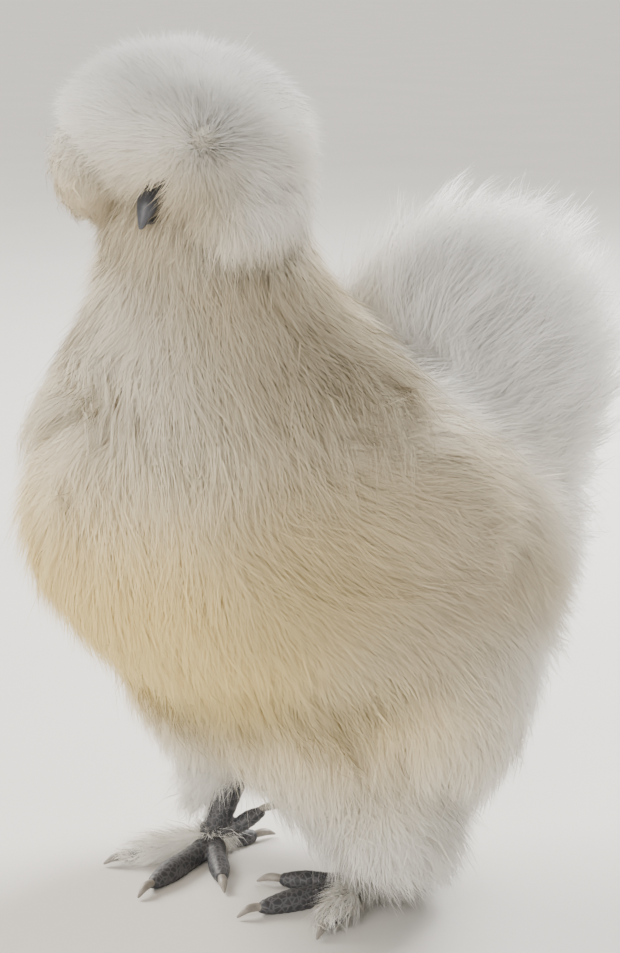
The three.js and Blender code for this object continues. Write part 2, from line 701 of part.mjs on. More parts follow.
for (const [name, side] of SIDES) {
  const foot = FEET[name];
  const outward = () => new THREE.Vector3(0.9 * side, 0.1, -0.8);
  const outerSide = ({ x, z }) => z < 40 && (x - foot.at[0]) * side > 6;
  dress("shank_" + name, {
    ...COATS.leg,
    form: shank(foot).grown(COATS.leg.depth / 2),
    lie: outward,
    seed: 91 + side,
    where: outerSide,
  });
  dress("outer_toe_" + name, {
    ...COATS.toe,
    form: toe(foot, TOES[4]).grown(COATS.toe.depth / 2),
    lie: outward,
    seed: 101 + side,
    where: ({ z }) => z > 3,
  });
}

// The figure's group, with its origin at the middle of its box, on the floor
const bird = new THREE.Group();
for (const [name, { solid, look }] of nodes) {
  const { vertProperties, triVerts } = solid.getMesh();
  const geometry = new THREE.BufferGeometry()
    .setAttribute("position", new THREE.BufferAttribute(vertProperties, 3))
    .setIndex(new THREE.BufferAttribute(triVerts, 1));
  const mesh = new THREE.Mesh(geometry, new THREE.MeshStandardMaterial(look));
  mesh.name = name;
  bird.add(mesh);
}
const box = new THREE.Box3().setFromObject(bird);
bird.position.set(-(box.min.x + box.max.x) / 2, -(box.min.y + box.max.y) / 2, 0);

export default bird;
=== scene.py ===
"""A bearded silkie hen at rest: the looks of the figure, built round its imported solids.

Sizes are in millimetres in the figure's own frame (+Z up, breast to -Y, left side +X) and become metres in the
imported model's frame when a mesh is made. The plumage is thousands of silky feathers, each a spray of thin strands
that follow the lie of the coat from the skin out to the same outline as the solids.
"""

from __future__ import annotations

import logging
from dataclasses import dataclass, field
from enum import Enum

import bpy
import numpy as np
from mathutils import Matrix, Vector

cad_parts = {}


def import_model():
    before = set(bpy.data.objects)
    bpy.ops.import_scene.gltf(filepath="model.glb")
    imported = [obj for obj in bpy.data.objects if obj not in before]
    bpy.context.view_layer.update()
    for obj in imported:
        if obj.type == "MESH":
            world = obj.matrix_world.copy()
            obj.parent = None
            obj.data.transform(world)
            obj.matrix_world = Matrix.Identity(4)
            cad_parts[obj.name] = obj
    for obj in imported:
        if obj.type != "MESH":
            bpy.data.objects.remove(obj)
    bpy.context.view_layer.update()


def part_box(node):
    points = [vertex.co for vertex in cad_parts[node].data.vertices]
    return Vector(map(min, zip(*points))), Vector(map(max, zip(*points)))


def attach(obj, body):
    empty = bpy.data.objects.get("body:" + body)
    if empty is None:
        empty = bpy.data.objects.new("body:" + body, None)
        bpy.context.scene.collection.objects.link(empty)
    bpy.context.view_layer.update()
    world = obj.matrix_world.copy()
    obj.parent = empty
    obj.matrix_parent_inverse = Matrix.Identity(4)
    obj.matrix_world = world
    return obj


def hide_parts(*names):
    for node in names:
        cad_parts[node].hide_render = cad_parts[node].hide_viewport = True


Array = np.ndarray
LOG = logging.getLogger("silkie")
MM = 0.001

# The head: the middle of the skull and its turns. Places on it are given forward along the beak, left and up.
HEAD_AT = np.array([0.0, -53.0, 269.0])
HEAD_YAW, HEAD_NOD, HEAD_TILT = np.radians([34.0, 10.0, 12.0])
EYE_FORWARD, EYE_OUT, EYE_UP, EYE_RADIUS = 6.0, 10.2, 2.5, 4.4
WHORL = (26.5, 17.5, 27.5)
WHORL_SKIN = (25.5, 16.5, 27.5, 6.0)
TUFT, TUFT_REACH = (35.5, 23.0, 30.5), 15.0

# The legs: how far the shank leans back, how high the hock is and how long a claw is.
SHANK_LEAN, HOCK_HEIGHT, CLAW_LENGTH = 30.0, 60.0, 9.0

# The coat: the height that no strand goes below; the solids' middle and half width, and the share by which what
# stands out past them is drawn in; places along the edge of the folded wing.
LOWEST_FEATHER = 0.4
MIDDLE_X, HALF_WIDTH, DRAWN_IN = 2.1, 82.0, 0.6
WING_EDGE = ((58, 7, 200), (70, 9, 173), (76, 24, 146), (72, 50, 133))

# Halvings that find the nearest section, steps of the sequence that spreads seats, and the triangles of one piece.
HALVINGS = 10
SEAT_STEPS = (0.7548776662466927, 0.5698402909980532)
MOST_TRIANGLES = 190000


class Side(Enum):
    """The two sides of the bird, with the sign of x on each."""

    LEFT = 1
    RIGHT = -1

    @property
    def label(self) -> str:
        """The side's name in lower case, as the solids' names have it."""
        return self.name.lower()


def unit(vectors: Array) -> Array:
    """Vectors brought to length one.

    Args:
        vectors: any array whose last axis is x, y, z.

    Returns:
        The same array, each vector divided by its length.
    """
    return vectors / np.maximum(np.linalg.norm(vectors, axis=-1, keepdims=True), 1e-12)


def dot(a: Array, b: Array) -> Array:
    """The dot products of two arrays of vectors, along the last axis."""
    return np.sum(a * b, axis=-1)


def smooth_step(values: Array, low: float, high: float) -> Array:
    """A share from 0 to 1 that eases in and out.

    Args:
        values: what is compared with the two limits.
        low: where the share starts.
        high: where it is full.

    Returns:
        t * t * (3 - 2t), with t the clipped share of the way from low to high.
    """
    t = np.clip((values - low) / (high - low), 0.0, 1.0)
    return t * t * (3.0 - 2.0 * t)


def spline(values: Array, s: Array) -> Array:
    """Reads a list of numbers or points smoothly: the uniform Catmull-Rom cubic through them.

    Args:
        values: the list, one row per stop.
        s: places from 0 to 1 along the list.

    Returns:
        One number or point per place.
    """
    last = len(values) - 1
    at = np.clip(s, 0.0, 1.0) * last
    i = np.minimum(at.astype(int), last - 1)
    t = at - i
    if values.ndim > 1:
        t = t[..., None]
    padded = np.concatenate([[2 * values[0] - values[1]], values, [2 * values[-1] - values[-2]]])
    a, b, c, d = (padded[i + k] for k in range(4))
    return b + 0.5 * t * (c - a + t * (2 * a - 5 * b + 4 * c - d + t * (3 * (b - c) + d - a)))


def head_matrix() -> Array:
    """The head's axes in the figure's frame.

    Returns:
        A 3 by 3 matrix whose columns are the head's left, backward and upward directions.
    """
    turn = Matrix.Rotation(HEAD_YAW, 3, "Z") @ Matrix.Rotation(HEAD_NOD, 3, "X") @ Matrix.Rotation(HEAD_TILT, 3, "Y")
    return np.array(turn)


HEAD_AXES = head_matrix()
HEAD_LEFT = HEAD_AXES[:, 0]


def in_head(forward: float, left: float, up: float) -> Array:
    """A place on the head, given forward along the beak, to the left and up from the middle of the skull."""
    return HEAD_AT + HEAD_AXES @ np.array([left, -forward, up])


@dataclass
class Form:
    """A closed rounded body along a path.

    At each share s of the path the section is an ellipse with half axes wide (along the side direction) and high,
    drawn in at both ends by sin(phi) to the power blunt. phi runs from 0 to pi along the path, theta round it.
    """

    path: Array
    wide: Array
    high: Array
    side: Array = field(default_factory=lambda: np.array([1.0, 0.0, 0.0]))
    blunt: float = 0.6

    def __post_init__(self) -> None:
        """Turns the lists that it was given into arrays."""
        self.path = np.asarray(self.path, float)
        self.wide = np.asarray(self.wide, float)
        self.high = np.asarray(self.high, float)
        self.side = np.asarray(self.side, float)

    def centre(self, s: Array) -> Array:
        """Places on the path at shares s of it."""
        return spline(self.path, np.asarray(s, float))

    def axes(self, s: Array) -> tuple[Array, Array, Array]:
        """The directions at shares of the path.

        Args:
            s: the shares, from 0 to 1.

        Returns:
            Unit vectors along the path, up from it and across it.
        """
        ahead = unit(self.centre(np.minimum(s + 0.02, 1.0)) - self.centre(np.maximum(s - 0.02, 0.0)))
        up = unit(np.cross(self.side, ahead))
        return ahead, up, np.cross(ahead, up)

    def grown(self, by: float) -> Form:
        """The same body with its section and its ends moved out.

        Args:
            by: how far, or how far in where it is negative.

        Returns:
            The new body.
        """
        path = self.path.copy()
        ends = np.array([0.0, 1.0])
        ahead = self.axes(ends)[0]
        path[0] -= by * ahead[0]
        path[-1] += by * ahead[1]
        return Form(path, self.wide + by, self.high + by, self.side, self.blunt)

    def surface(self, phi: Array, theta: Array) -> Array:
        """Points of the surface: the path's point plus the ellipse of its section drawn in by sin(phi)^blunt.

        Args:
            phi: from 0 to pi along the path.
            theta: from 0 to 2 pi round it.

        Returns:
            One point for each pair.
        """
        s = (1.0 - np.cos(phi)) / 2.0
        _, up, across = self.axes(s)
        draw = np.power(np.maximum(np.sin(phi), 0.0), self.blunt)
        wide = draw * spline(self.wide, s) * np.cos(theta)
        high = draw * spline(self.high, s) * np.sin(theta)
        return self.centre(s) + across * wide[..., None] + up * high[..., None]

    def slopes(self, phi: Array, theta: Array) -> tuple[Array, Array]:
        """The surface's slopes, by central differences.

        Args:
            phi: places along the path.
            theta: places round it.

        Returns:
            The slopes along phi and along theta.
        """
        e = 1e-3
        p = np.clip(phi, 0.03, np.pi - 0.03)
        along = (self.surface(p + e, theta) - self.surface(p - e, theta)) / (2 * e)
        around = (self.surface(p, theta + e) - self.surface(p, theta - e)) / (2 * e)
        return along, around

    def normal(self, phi: Array, theta: Array) -> Array:
        """The direction out of the surface: the cross product of its slopes, turned away from the path.

        Args:
            phi: places along the path.
            theta: places round it.

        Returns:
            One unit vector for each place.
        """
        along, around = self.slopes(phi, theta)
        out = unit(np.cross(along, around))
        inside = self.centre(0.1 + 0.4 * (1.0 - np.cos(phi)))
        turned = dot(out, self.surface(phi, theta) - inside) < 0
        return np.where(turned[..., None], -out, out)

    def step(self, phi: Array, theta: Array, way: Array, length: Array) -> tuple[Array, Array]:
        """Where a step of some length leads on the surface.

        Args:
            phi: where the step starts, along the path.
            theta: where it starts, round the path.
            way: its direction, of which only the part in the surface counts.
            length: how long it is.

        Returns:
            phi and theta of its end, carried over an end of the body where it crosses one.
        """
        a, b = self.slopes(phi, theta)
        aa, ab, bb = dot(a, a), dot(a, b), dot(b, b)
        wa, wb = dot(way, a), dot(way, b)
        spread = np.maximum(aa * bb - ab * ab, 1e-9)
        da, db = (wa * bb - wb * ab) / spread, (wb * aa - wa * ab) / spread
        run = np.linalg.norm(a * da[..., None] + b * db[..., None], axis=-1)
        share = length / np.maximum(run, 1e-9)
        phi, theta = phi + da * share, theta + db * share
        over = (phi < 0) | (phi > np.pi)
        folded = np.where(phi < 0, -phi, 2 * np.pi - phi)
        return np.where(over, folded, phi), np.where(over, theta + np.pi, theta)

    def depth(self, points: Array) -> tuple[Array, Array]:
        """How deep points lie inside the body, measured across its path.

        The nearest section is found by halving. There r is the point's distance from the path as a share of the
        ellipse's, and the depth is distance * (1 / r - 1), or minus the distance past an end.

        Args:
            points: places, n by 3.

        Returns:
            The depth of each, negative outside, and the direction out of the body.
        """
        near, far = np.zeros(len(points)), np.ones(len(points))
        for _ in range(HALVINGS):
            s = (near + far) / 2
            past = dot(points - self.centre(s), self.axes(s)[0]) > 0
            near, far = np.where(past, s, near), np.where(past, far, s)
        s = (near + far) / 2
        ahead, up, across = self.axes(s)
        away = points - self.centre(s)
        draw = np.power(np.maximum(np.sin(np.arccos(1 - 2 * s)), 1e-6), self.blunt)
        wide = np.maximum(draw * spline(self.wide, s), 1e-3)
        high = np.maximum(draw * spline(self.high, s), 1e-3)
        x, y = dot(away, across) / wide, dot(away, up) / high
        r = np.maximum(np.hypot(x, y), 0.05)
        depth = np.hypot(x * wide, y * high) * (1 / r - 1)
        beyond = np.abs(dot(away, ahead))
        depth = np.where(beyond > 2.0, np.minimum(depth, -beyond), depth)
        return depth, unit(across * (x / wide)[:, None] + up * (y / high)[:, None] + 1e-9)

    def seats(self, count: int, rng: np.random.Generator) -> tuple[Array, Array]:
        """Places spread evenly over the surface: a low-discrepancy sequence mapped by the area of each patch.

        Args:
            count: how many places.
            rng: where the sequence's start is drawn from.

        Returns:
            phi and theta of each.
        """
        rows, columns = 64, 64
        phi = (np.arange(rows) + 0.5) * np.pi / rows
        theta = (np.arange(columns) + 0.5) * 2 * np.pi / columns
        a, b = self.slopes(*np.meshgrid(phi, theta, indexing="ij"))
        area = np.linalg.norm(np.cross(a, b), axis=-1)
        k = np.arange(count) + 1
        u = (rng.random() + k * SEAT_STEPS[0]) % 1.0
        v = (rng.random() + k * SEAT_STEPS[1]) % 1.0
        by_row = np.concatenate([[0.0], np.cumsum(area.sum(1)) / area.sum()])
        row = np.clip(np.searchsorted(by_row, u, side="right") - 1, 0, rows - 1)
        part = (u - by_row[row]) / (by_row[row + 1] - by_row[row])
        within = np.cumsum(area, axis=1) / area.sum(1, keepdims=True)
        steps = np.concatenate([np.zeros((rows, 1)), within], axis=1)
        flat = (steps + np.arange(rows)[:, None]).ravel()
        at = np.clip(np.searchsorted(flat, row + v, side="right") - 1 - row * (columns + 1), 0, columns - 1)
        share = (v - steps[row, at]) / np.maximum(steps[row, at + 1] - steps[row, at], 1e-9)
        return (row + part) * np.pi / rows, (at + share) * 2 * np.pi / columns


@dataclass(frozen=True)
class Sizes:
    """The sizes of a form: the stops of its path, the half axes of its sections there and how blunt its ends are."""

    path: tuple[tuple[float, float, float], ...]
    wide: tuple[float, ...]
    high: tuple[float, ...]
    blunt: float

    def form(self, sign: int = 1) -> Form:
        """The form in the figure's frame, mirrored to the right where sign is -1."""
        return Form([(x * sign, y, z) for x, y, z in self.path], self.wide, self.high, blunt=self.blunt)

    def on_head(self, sign: int = 1) -> Form:
        """The form on the head, its path given forward, left and up, mirrored to the right where sign is -1."""
        path = [in_head(forward, left * sign, up) for forward, left, up in self.path]
        return Form(path, self.wide, self.high, HEAD_LEFT, self.blunt)


@dataclass
class Shape:
    """Corners and faces of a mesh in the making, with the length of each face."""

    points: Array
    loops: Array
    sizes: Array

    @staticmethod
    def closed_grid(points: Array, ends: Array) -> Shape:
        """A closed surface from rings of points, each end closed by a fan to one more point.

        Args:
            points: rings by sides by 3.
            ends: the first and the last point.

        Returns:
            The shape, its faces four-cornered between the rings and three-cornered at the ends.
        """
        rings, sides = points.shape[:2]
        i, j = np.meshgrid(np.arange(rings - 1), np.arange(sides), indexing="ij")
        k = (j + 1) % sides
        quads = np.stack([i * sides + j, (i + 1) * sides + j, (i + 1) * sides + k, i * sides + k], -1).reshape(-1, 4)
        turn = np.arange(sides)
        first = np.stack([np.full(sides, rings * sides), turn, (turn + 1) % sides], -1)
        base = (rings - 1) * sides
        last = np.stack([np.full(sides, rings * sides + 1), base + (turn + 1) % sides, base + turn], -1)
        corners = np.concatenate([points.reshape(-1, 3), ends])
        loops = np.concatenate([quads.ravel(), first.ravel(), last.ravel()])
        sizes = np.concatenate([np.full(len(quads), 4), np.full(2 * sides, 3)])
        return Shape(corners, loops, sizes).facing_out()

    def facing_out(self) -> Shape:
        """The same shape with its faces turned round where its volume comes out negative.

        Returns:
            This shape, or one whose faces run the other way round.
        """
        starts = np.concatenate([[0], np.cumsum(self.sizes)[:-1]])
        a, b, c = (self.points[self.loops[starts + n]] for n in range(3))
        volume = dot(a, np.cross(b, c)).sum()
        four = self.sizes == 4
        d = self.points[self.loops[starts[four] + 3]]
        volume += dot(a[four], np.cross(c[four], d)).sum()
        if volume >= 0:
            return self
        ends = np.repeat(starts + self.sizes, self.sizes)
        place = np.arange(len(self.loops)) - np.repeat(starts, self.sizes)
        return Shape(self.points, self.loops[ends - 1 - place], self.sizes)

    @staticmethod
    def joined(shapes: list[Shape]) -> Shape:
        """Several shapes as one, side by side.

        Args:
            shapes: the shapes.

        Returns:
            One shape with all their corners and faces.
        """
        offsets = np.cumsum([0] + [len(shape.points) for shape in shapes[:-1]])
        return Shape(
            np.concatenate([shape.points for shape in shapes]),
            np.concatenate([shape.loops + offset for shape, offset in zip(shapes, offsets)]),
            np.concatenate([shape.sizes for shape in shapes]),
        )


def form_grid(rings: int, sides: int) -> tuple[Array, Array]:
    """The grid of places that a form's surface is read at, with rings evenly spaced in phi between its two ends.

    Args:
        rings: how many rings of points lie between its ends.
        sides: how many points each ring has.

    Returns:
        phi and theta, each rings by sides.
    """
    phi = np.pi * np.arange(1, rings + 1) / (rings + 1)
    theta = 2 * np.pi * np.arange(sides) / sides
    grid = np.meshgrid(phi, theta, indexing="ij")
    return grid[0], grid[1]


def form_shape(form: Form, rings: int, sides: int, lift: Array | None = None) -> Shape:
    """A form as a closed grid, moved out along its normals by a lift.

    Args:
        form: the body.
        rings: how many rings of points lie between its ends.
        sides: how many points each ring has.
        lift: how far each point stands out, rings by sides, or nothing.

    Returns:
        The closed shape.
    """
    phi, theta = form_grid(rings, sides)
    points = form.surface(phi, theta)
    if lift is not None:
        points = points + form.normal(phi, theta) * lift[..., None]
    return Shape.closed_grid(points, form.centre(np.array([0.0, 1.0])))


@dataclass(frozen=True)
class Placement:
    """Moves the figure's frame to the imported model's, which has its origin at the middle of its box."""

    shift: tuple[float, float]

    @staticmethod
    def found() -> Placement:
        """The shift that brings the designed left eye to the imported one.

        Returns:
            The placement for this pack.
        """
        low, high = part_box("eye_left")
        middle = (np.array(low) + np.array(high)) / 2 / MM
        designed = in_head(EYE_FORWARD, EYE_OUT, EYE_UP)
        return Placement((float(middle[0] - designed[0]), float(middle[1] - designed[1])))

    def metres(self, points: Array) -> Array:
        """Points of the figure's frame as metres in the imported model's."""
        return (points + np.array([self.shift[0], self.shift[1], 0.0])) * MM


@dataclass(frozen=True)
class Finish:
    """A dielectric finish whose colour wanders between two tones and whose surface is finely uneven."""

    name: str
    light: tuple[float, float, float]
    dark: tuple[float, float, float]
    roughness: float
    grain: float = 400.0
    bump: float = 0.2
    depth: float = 0.0003
    coat: float = 0.0

    def material(self) -> bpy.types.Material:
        """The finish as a material.

        Returns:
            A material whose base colour is a noise between the two tones, with the same noise as its bump.
        """
        made, nodes, links, shader = new_material(self.name)
        shader.inputs["Roughness"].default_value = self.roughness
        shader.inputs["Coat Weight"].default_value = self.coat
        place = nodes.new("ShaderNodeTexCoord")
        noise = nodes.new("ShaderNodeTexNoise")
        noise.inputs["Scale"].default_value = self.grain
        noise.inputs["Detail"].default_value = 5.0
        links.new(place.outputs["Object"], noise.inputs["Vector"])
        links.new(two_tones(nodes, links, noise.outputs["Fac"], self.dark, self.light), shader.inputs["Base Color"])
        links.new(bumped(nodes, links, noise.outputs["Fac"], self.bump, self.depth), shader.inputs["Normal"])
        return made


def new_material(name: str) -> tuple[bpy.types.Material, bpy.types.Nodes, bpy.types.NodeLinks, bpy.types.Node]:
    """An empty material with one principled shader.

    Args:
        name: the material's name.

    Returns:
        The material, its nodes, its links and the shader.
    """
    made = bpy.data.materials.new(name)
    made.use_nodes = True
    nodes, links = made.node_tree.nodes, made.node_tree.links
    return made, nodes, links, nodes["Principled BSDF"]


def two_tones(
    nodes: bpy.types.Nodes,
    links: bpy.types.NodeLinks,
    share: bpy.types.NodeSocket,
    low: tuple[float, float, float],
    high: tuple[float, float, float],
    limits: tuple[float, float] = (0.3, 0.7),
) -> bpy.types.NodeSocket:
    """A colour ramp between two tones.

    Args:
        nodes: the material's nodes.
        links: its links.
        share: what drives the ramp.
        low: the tone at its low end.
        high: the tone at its high end.
        limits: where the two ends lie.

    Returns:
        The ramp's colour.
    """
    ramp = nodes.new("ShaderNodeValToRGB")
    for element, colour, at in zip(ramp.color_ramp.elements, (low, high), limits):
        element.color = (*colour, 1.0)
        element.position = at
    links.new(share, ramp.inputs["Fac"])
    return ramp.outputs["Color"]


def bumped(
    nodes: bpy.types.Nodes, links: bpy.types.NodeLinks, height: bpy.types.NodeSocket, strength: float, depth: float
) -> bpy.types.NodeSocket:
    """A bump from a height.

    Args:
        nodes: the material's nodes.
        links: its links.
        height: the height, from 0 to 1.
        strength: how much of it shows.
        depth: how deep it is, in metres.

    Returns:
        The bumped normal.
    """
    bump = nodes.new("ShaderNodeBump")
    bump.inputs["Strength"].default_value = strength
    bump.inputs["Distance"].default_value = depth
    links.new(height, bump.inputs["Height"])
    return bump.outputs["Normal"]


@dataclass(frozen=True)
class ScalyFinish(Finish):
    """Bare dark leg skin: small net-like scales, from a cell pattern, over the finish's own tones."""

    cells: float = 420.0

    def material(self) -> bpy.types.Material:
        """The finish as a material whose cell borders are paler and sunk.

        Returns:
            The material, coloured and bumped by the distance to the cells' edges.
        """
        made, nodes, links, shader = new_material(self.name)
        shader.inputs["Roughness"].default_value = self.roughness
        place = nodes.new("ShaderNodeTexCoord")
        cell = nodes.new("ShaderNodeTexVoronoi")
        cell.feature = "DISTANCE_TO_EDGE"
        cell.inputs["Scale"].default_value = self.cells
        links.new(place.outputs["Object"], cell.inputs["Vector"])
        edge = cell.outputs["Distance"]
        links.new(two_tones(nodes, links, edge, self.light, self.dark, (0.0, 0.16)), shader.inputs["Base Color"])
        links.new(bumped(nodes, links, edge, self.bump, self.depth), shader.inputs["Normal"])
        return made


@dataclass(frozen=True)
class PlumageFinish:
    """White silky plumage: the tint painted on the strands, painted shade and bounce light included, broken up by a
    faint noise as fine as barbules.
    """

    name: str = "white_plumage"
    roughness: float = 0.7
    specular: float = 0.15
    grain: float = 900.0

    def material(self) -> bpy.types.Material:
        """The finish as a material that reads the tint painted on the mesh.

        Returns:
            The material, its base colour the tint times a noise.
        """
        made, nodes, links, shader = new_material(self.name)
        shader.inputs["Roughness"].default_value = self.roughness
        shader.inputs["Specular IOR Level"].default_value = self.specular
        tint = nodes.new("ShaderNodeAttribute")
        tint.attribute_name = "tint"
        place = nodes.new("ShaderNodeTexCoord")
        noise = nodes.new("ShaderNodeTexNoise")
        noise.inputs["Scale"].default_value = self.grain
        noise.inputs["Detail"].default_value = 1.0
        links.new(place.outputs["Object"], noise.inputs["Vector"])
        faint = two_tones(nodes, links, noise.outputs["Fac"], (0.93, 0.93, 0.925), (1.0, 1.0, 1.0))
        both = nodes.new("ShaderNodeMix")
        both.data_type, both.blend_type = "RGBA", "MULTIPLY"
        both.inputs["Factor"].default_value = 1.0
        links.new(tint.outputs["Color"], both.inputs["A"])
        links.new(faint, both.inputs["B"])
        links.new(both.outputs["Result"], shader.inputs["Base Color"])
        return made


def plumage_tint(points: Array, tone: Array) -> Array:
    """The plumage's colour: white, yellow below (own tint and painted bounce light), painted shade on cheek, nape,
    flank, crown.

    Each area's share is a product of smooth steps along x, y and z. The roots are darker and warmer than the tips, as
    painted shade between the strands, less so on the back and the tail, and the tint passes from one to the other over
    the first four fifths of the feather.

    Args:
        points: places in the figure's frame.
        tone: how far each is from its feather's root to its tip, from 0 to 1.

    Returns:
        Linear red, green and blue per place.
    """
    white = np.array([0.96, 0.95, 0.93])
    cream_and_bounce_light = np.array([0.96, 0.77, 0.34])
    tan_shade = np.array([0.57, 0.47, 0.28])
    crown_shade_grey = np.array([0.50, 0.515, 0.54])
    x, y, z = points[..., 0], points[..., 1], points[..., 2]
    # The yellow of breast and belly is partly the plumage's own buff tint and partly painted warm light bounced up from
    # below.
    breast = smooth_step(-y, -30, 60) * smooth_step(-z, -215, -125) * smooth_step(z, 20, 90) * 0.95
    belly = smooth_step(-z, -150, -80) * smooth_step(z, 20, 80) * smooth_step(-y, -70, 20) * 0.7
    warm = np.maximum(breast, belly)[..., None]
    # Painted shade: a dull tan under the muffs, on the nape and on the flanks, less towards the front of the neck.
    cheek = smooth_step(-y, 48, 72) * smooth_step(-z, -296, -262) * smooth_step(z, 215, 245)
    nape = smooth_step(-z, -262, -235) * smooth_step(z, 150, 200) * smooth_step(-y, -40, 0)
    nape = nape * (1.0 - 0.45 * smooth_step(-y, 60, 95))
    flank = smooth_step(np.abs(x), 40, 75) * smooth_step(z, 80, 120) * smooth_step(-z, -215, -170)
    painted_shade = (0.74 * np.maximum(np.maximum(cheek, nape), flank))[..., None]
    # Painted shade: the top of the crest greyed, as if in shade.
    crown = smooth_step(z, 284, 314)[..., None] * 0.8
    tip = white * (1 - warm) + cream_and_bounce_light * warm
    tip = tip * (1 - painted_shade) + tan_shade * painted_shade
    tip = tip * (1 - crown) + crown_shade_grey * crown
    # Painted shade between the strands: each root darker and warmer than its tip, less of it over the back and the tail
    # top.
    pale = (smooth_step(y, 20, 60) * smooth_step(z, 150, 190))[..., None]
    root = tip * (np.array([0.94, 0.89, 0.77]) * (1 - pale) + np.array([0.97, 0.96, 0.93]) * pale)
    share = smooth_step(tone, 0.0, 0.8)[..., None]
    return root * (1 - share) + tip * share


class Maker:
    """Turns shapes into Blender objects that ride on the figure."""

    def __init__(self, placement: Placement) -> None:
        """Keeps the placement that every mesh goes through."""
        self.placement = placement

    def mesh(self, name: str, shape: Shape) -> bpy.types.Object:
        """A smooth mesh object at the origin.

        Args:
            name: the object's name.
            shape: its corners and faces in the figure's frame.

        Returns:
            The object, linked to the scene.
        """
        data = bpy.data.meshes.new(name)
        data.vertices.add(len(shape.points))
        data.vertices.foreach_set("co", self.placement.metres(shape.points).astype(np.float32).ravel())
        data.loops.add(len(shape.loops))
        data.loops.foreach_set("vertex_index", shape.loops.astype(np.int32))
        data.polygons.add(len(shape.sizes))
        starts = np.concatenate([[0], np.cumsum(shape.sizes)[:-1]])
        data.polygons.foreach_set("loop_start", starts.astype(np.int32))
        data.polygons.foreach_set("use_smooth", np.ones(len(shape.sizes), bool))
        data.update(calc_edges=True)
        made = bpy.data.objects.new(name, data)
        bpy.context.scene.collection.objects.link(made)
        return made

    def remeshed(self, shape: Shape, voxel: float, smoothing: int, hollow: Shape | None = None) -> Shape:
        """Overlapping closed bodies as one smooth skin.

        Args:
            shape: the bodies in the figure's frame.
            voxel: the size of the cells that they are read with, in millimetres.
            smoothing: how many times the skin is evened out.
            hollow: a body that is cut out of it, or nothing.

        Returns:
            The skin in the figure's frame.
        """
        rough = self.mesh("rough_skin", shape)
        cells = rough.modifiers.new("cells", "REMESH")
        cells.mode = "VOXEL"
        cells.voxel_size = voxel * MM
        cutter = self.mesh("rough_hollow", hollow) if hollow else None
        if cutter:
            cut = rough.modifiers.new("cut", "BOOLEAN")
            cut.operation, cut.solver, cut.object = "DIFFERENCE", "EXACT", cutter
        even = rough.modifiers.new("even", "SMOOTH")
        even.iterations = smoothing
        done = rough.evaluated_get(bpy.context.evaluated_depsgraph_get()).to_mesh()
        points = np.zeros(len(done.vertices) * 3, np.float32)
        done.vertices.foreach_get("co", points)
        loops = np.zeros(len(done.loops), np.int32)
        done.loops.foreach_get("vertex_index", loops)
        sizes = np.zeros(len(done.polygons), np.int32)
        done.polygons.foreach_get("loop_total", sizes)
        for used in filter(None, (rough, cutter)):
            data = used.data
            bpy.data.objects.remove(used)
            bpy.data.meshes.remove(data)
        back = points.reshape(-1, 3) / MM - np.array([*self.placement.shift, 0.0])
        return Shape(back, loops, sizes)

    def paint(self, piece: bpy.types.Object, tint: Array) -> None:
        """Puts a colour per corner point on a mesh, under the name that the plumage finish reads.

        Args:
            piece: the object.
            tint: red, green and blue per point.
        """
        colours = np.concatenate([tint, np.ones((len(tint), 1))], axis=1).astype(np.float32)
        layer = piece.data.attributes.new("tint", "FLOAT_COLOR", "POINT")
        layer.data.foreach_set("color", colours.ravel())

    def settle(
        self, piece: bpy.types.Object, materials: list[bpy.types.Material], nodes: list[str]
    ) -> None:
        """Gives a piece its finish and its place in the figure.

        Args:
            piece: the object.
            materials: its materials.
            nodes: the solids that it stands for.
        """
        for material in materials:
            piece.data.materials.append(material)
        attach(piece, "root")
        if nodes:
            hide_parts(*nodes)
        LOG.info("%s: %d faces", piece.name, len(piece.data.polygons))


@dataclass(frozen=True)
class Lie:
    """The way that the plumage runs over a form: away from a source, or along a steady direction, plus a pull."""

    source: tuple[float, float, float] | None = None
    pull: tuple[float, float, float] = (0.0, 0.0, 0.0)

    def way(self, points: Array) -> Array:
        """The direction of the plumage: away from the source, plus the pull.

        Args:
            points: places in the figure's frame.

        Returns:
            One unit vector for each.
        """
        steady = np.broadcast_to(np.array(self.pull), points.shape)
        if self.source is None:
            return unit(steady)
        return unit(unit(points - np.array(self.source)) + steady)


@dataclass(frozen=True)
class CrestLie(Lie):
    """Away from a whorl over the beak, and straight down behind the crown."""

    def way(self, points: Array) -> Array:
        """The direction: away from the whorl, plus a fall that grows towards the nape.

        Args:
            points: places in the figure's frame.

        Returns:
            One unit vector for each.
        """
        away = unit(points - np.array(self.source))
        behind = smooth_step((points - HEAD_AT) @ HEAD_AXES[:, 1], -8, 34)
        behind = behind[..., None]
        return unit(away * (1 - 0.8 * behind) + np.array([0, 0, -1.0]) * (0.15 + 1.1 * behind))


@dataclass(frozen=True)
class BodyLie(Lie):
    """Down on the breast, back and down over the sides, and out of the tail's base like a fan over the rump."""

    fan: tuple[float, float] = (14.0, 178.0)

    def way(self, points: Array) -> Array:
        """The direction: down with a growing share of backwards, then away from the fan's middle.

        Args:
            points: places in the figure's frame.

        Returns:
            One unit vector for each.
        """
        x, y, z = points[..., 0], points[..., 1], points[..., 2]
        back = 1.1 * smooth_step(y, -100, -10) * (0.3 + 0.7 * smooth_step(z, 90, 135))
        ahead = 0.7 * smooth_step(-y, 45, 95) * smooth_step(z, 150, 200)
        round_neck = unit(np.stack([x, y + 42.0], axis=-1)) * ahead[..., None]
        down = np.full_like(back, -0.75)
        flank = unit(np.stack([x / 260 + round_neck[..., 0], back + round_neck[..., 1], down], axis=-1))
        rump = unit(np.stack([x * 0.25, y - self.fan[0], z - self.fan[1]], axis=-1))
        share = smooth_step(y, 10, 60)[..., None]
        return unit(flank * (1 - share) + rump * share)


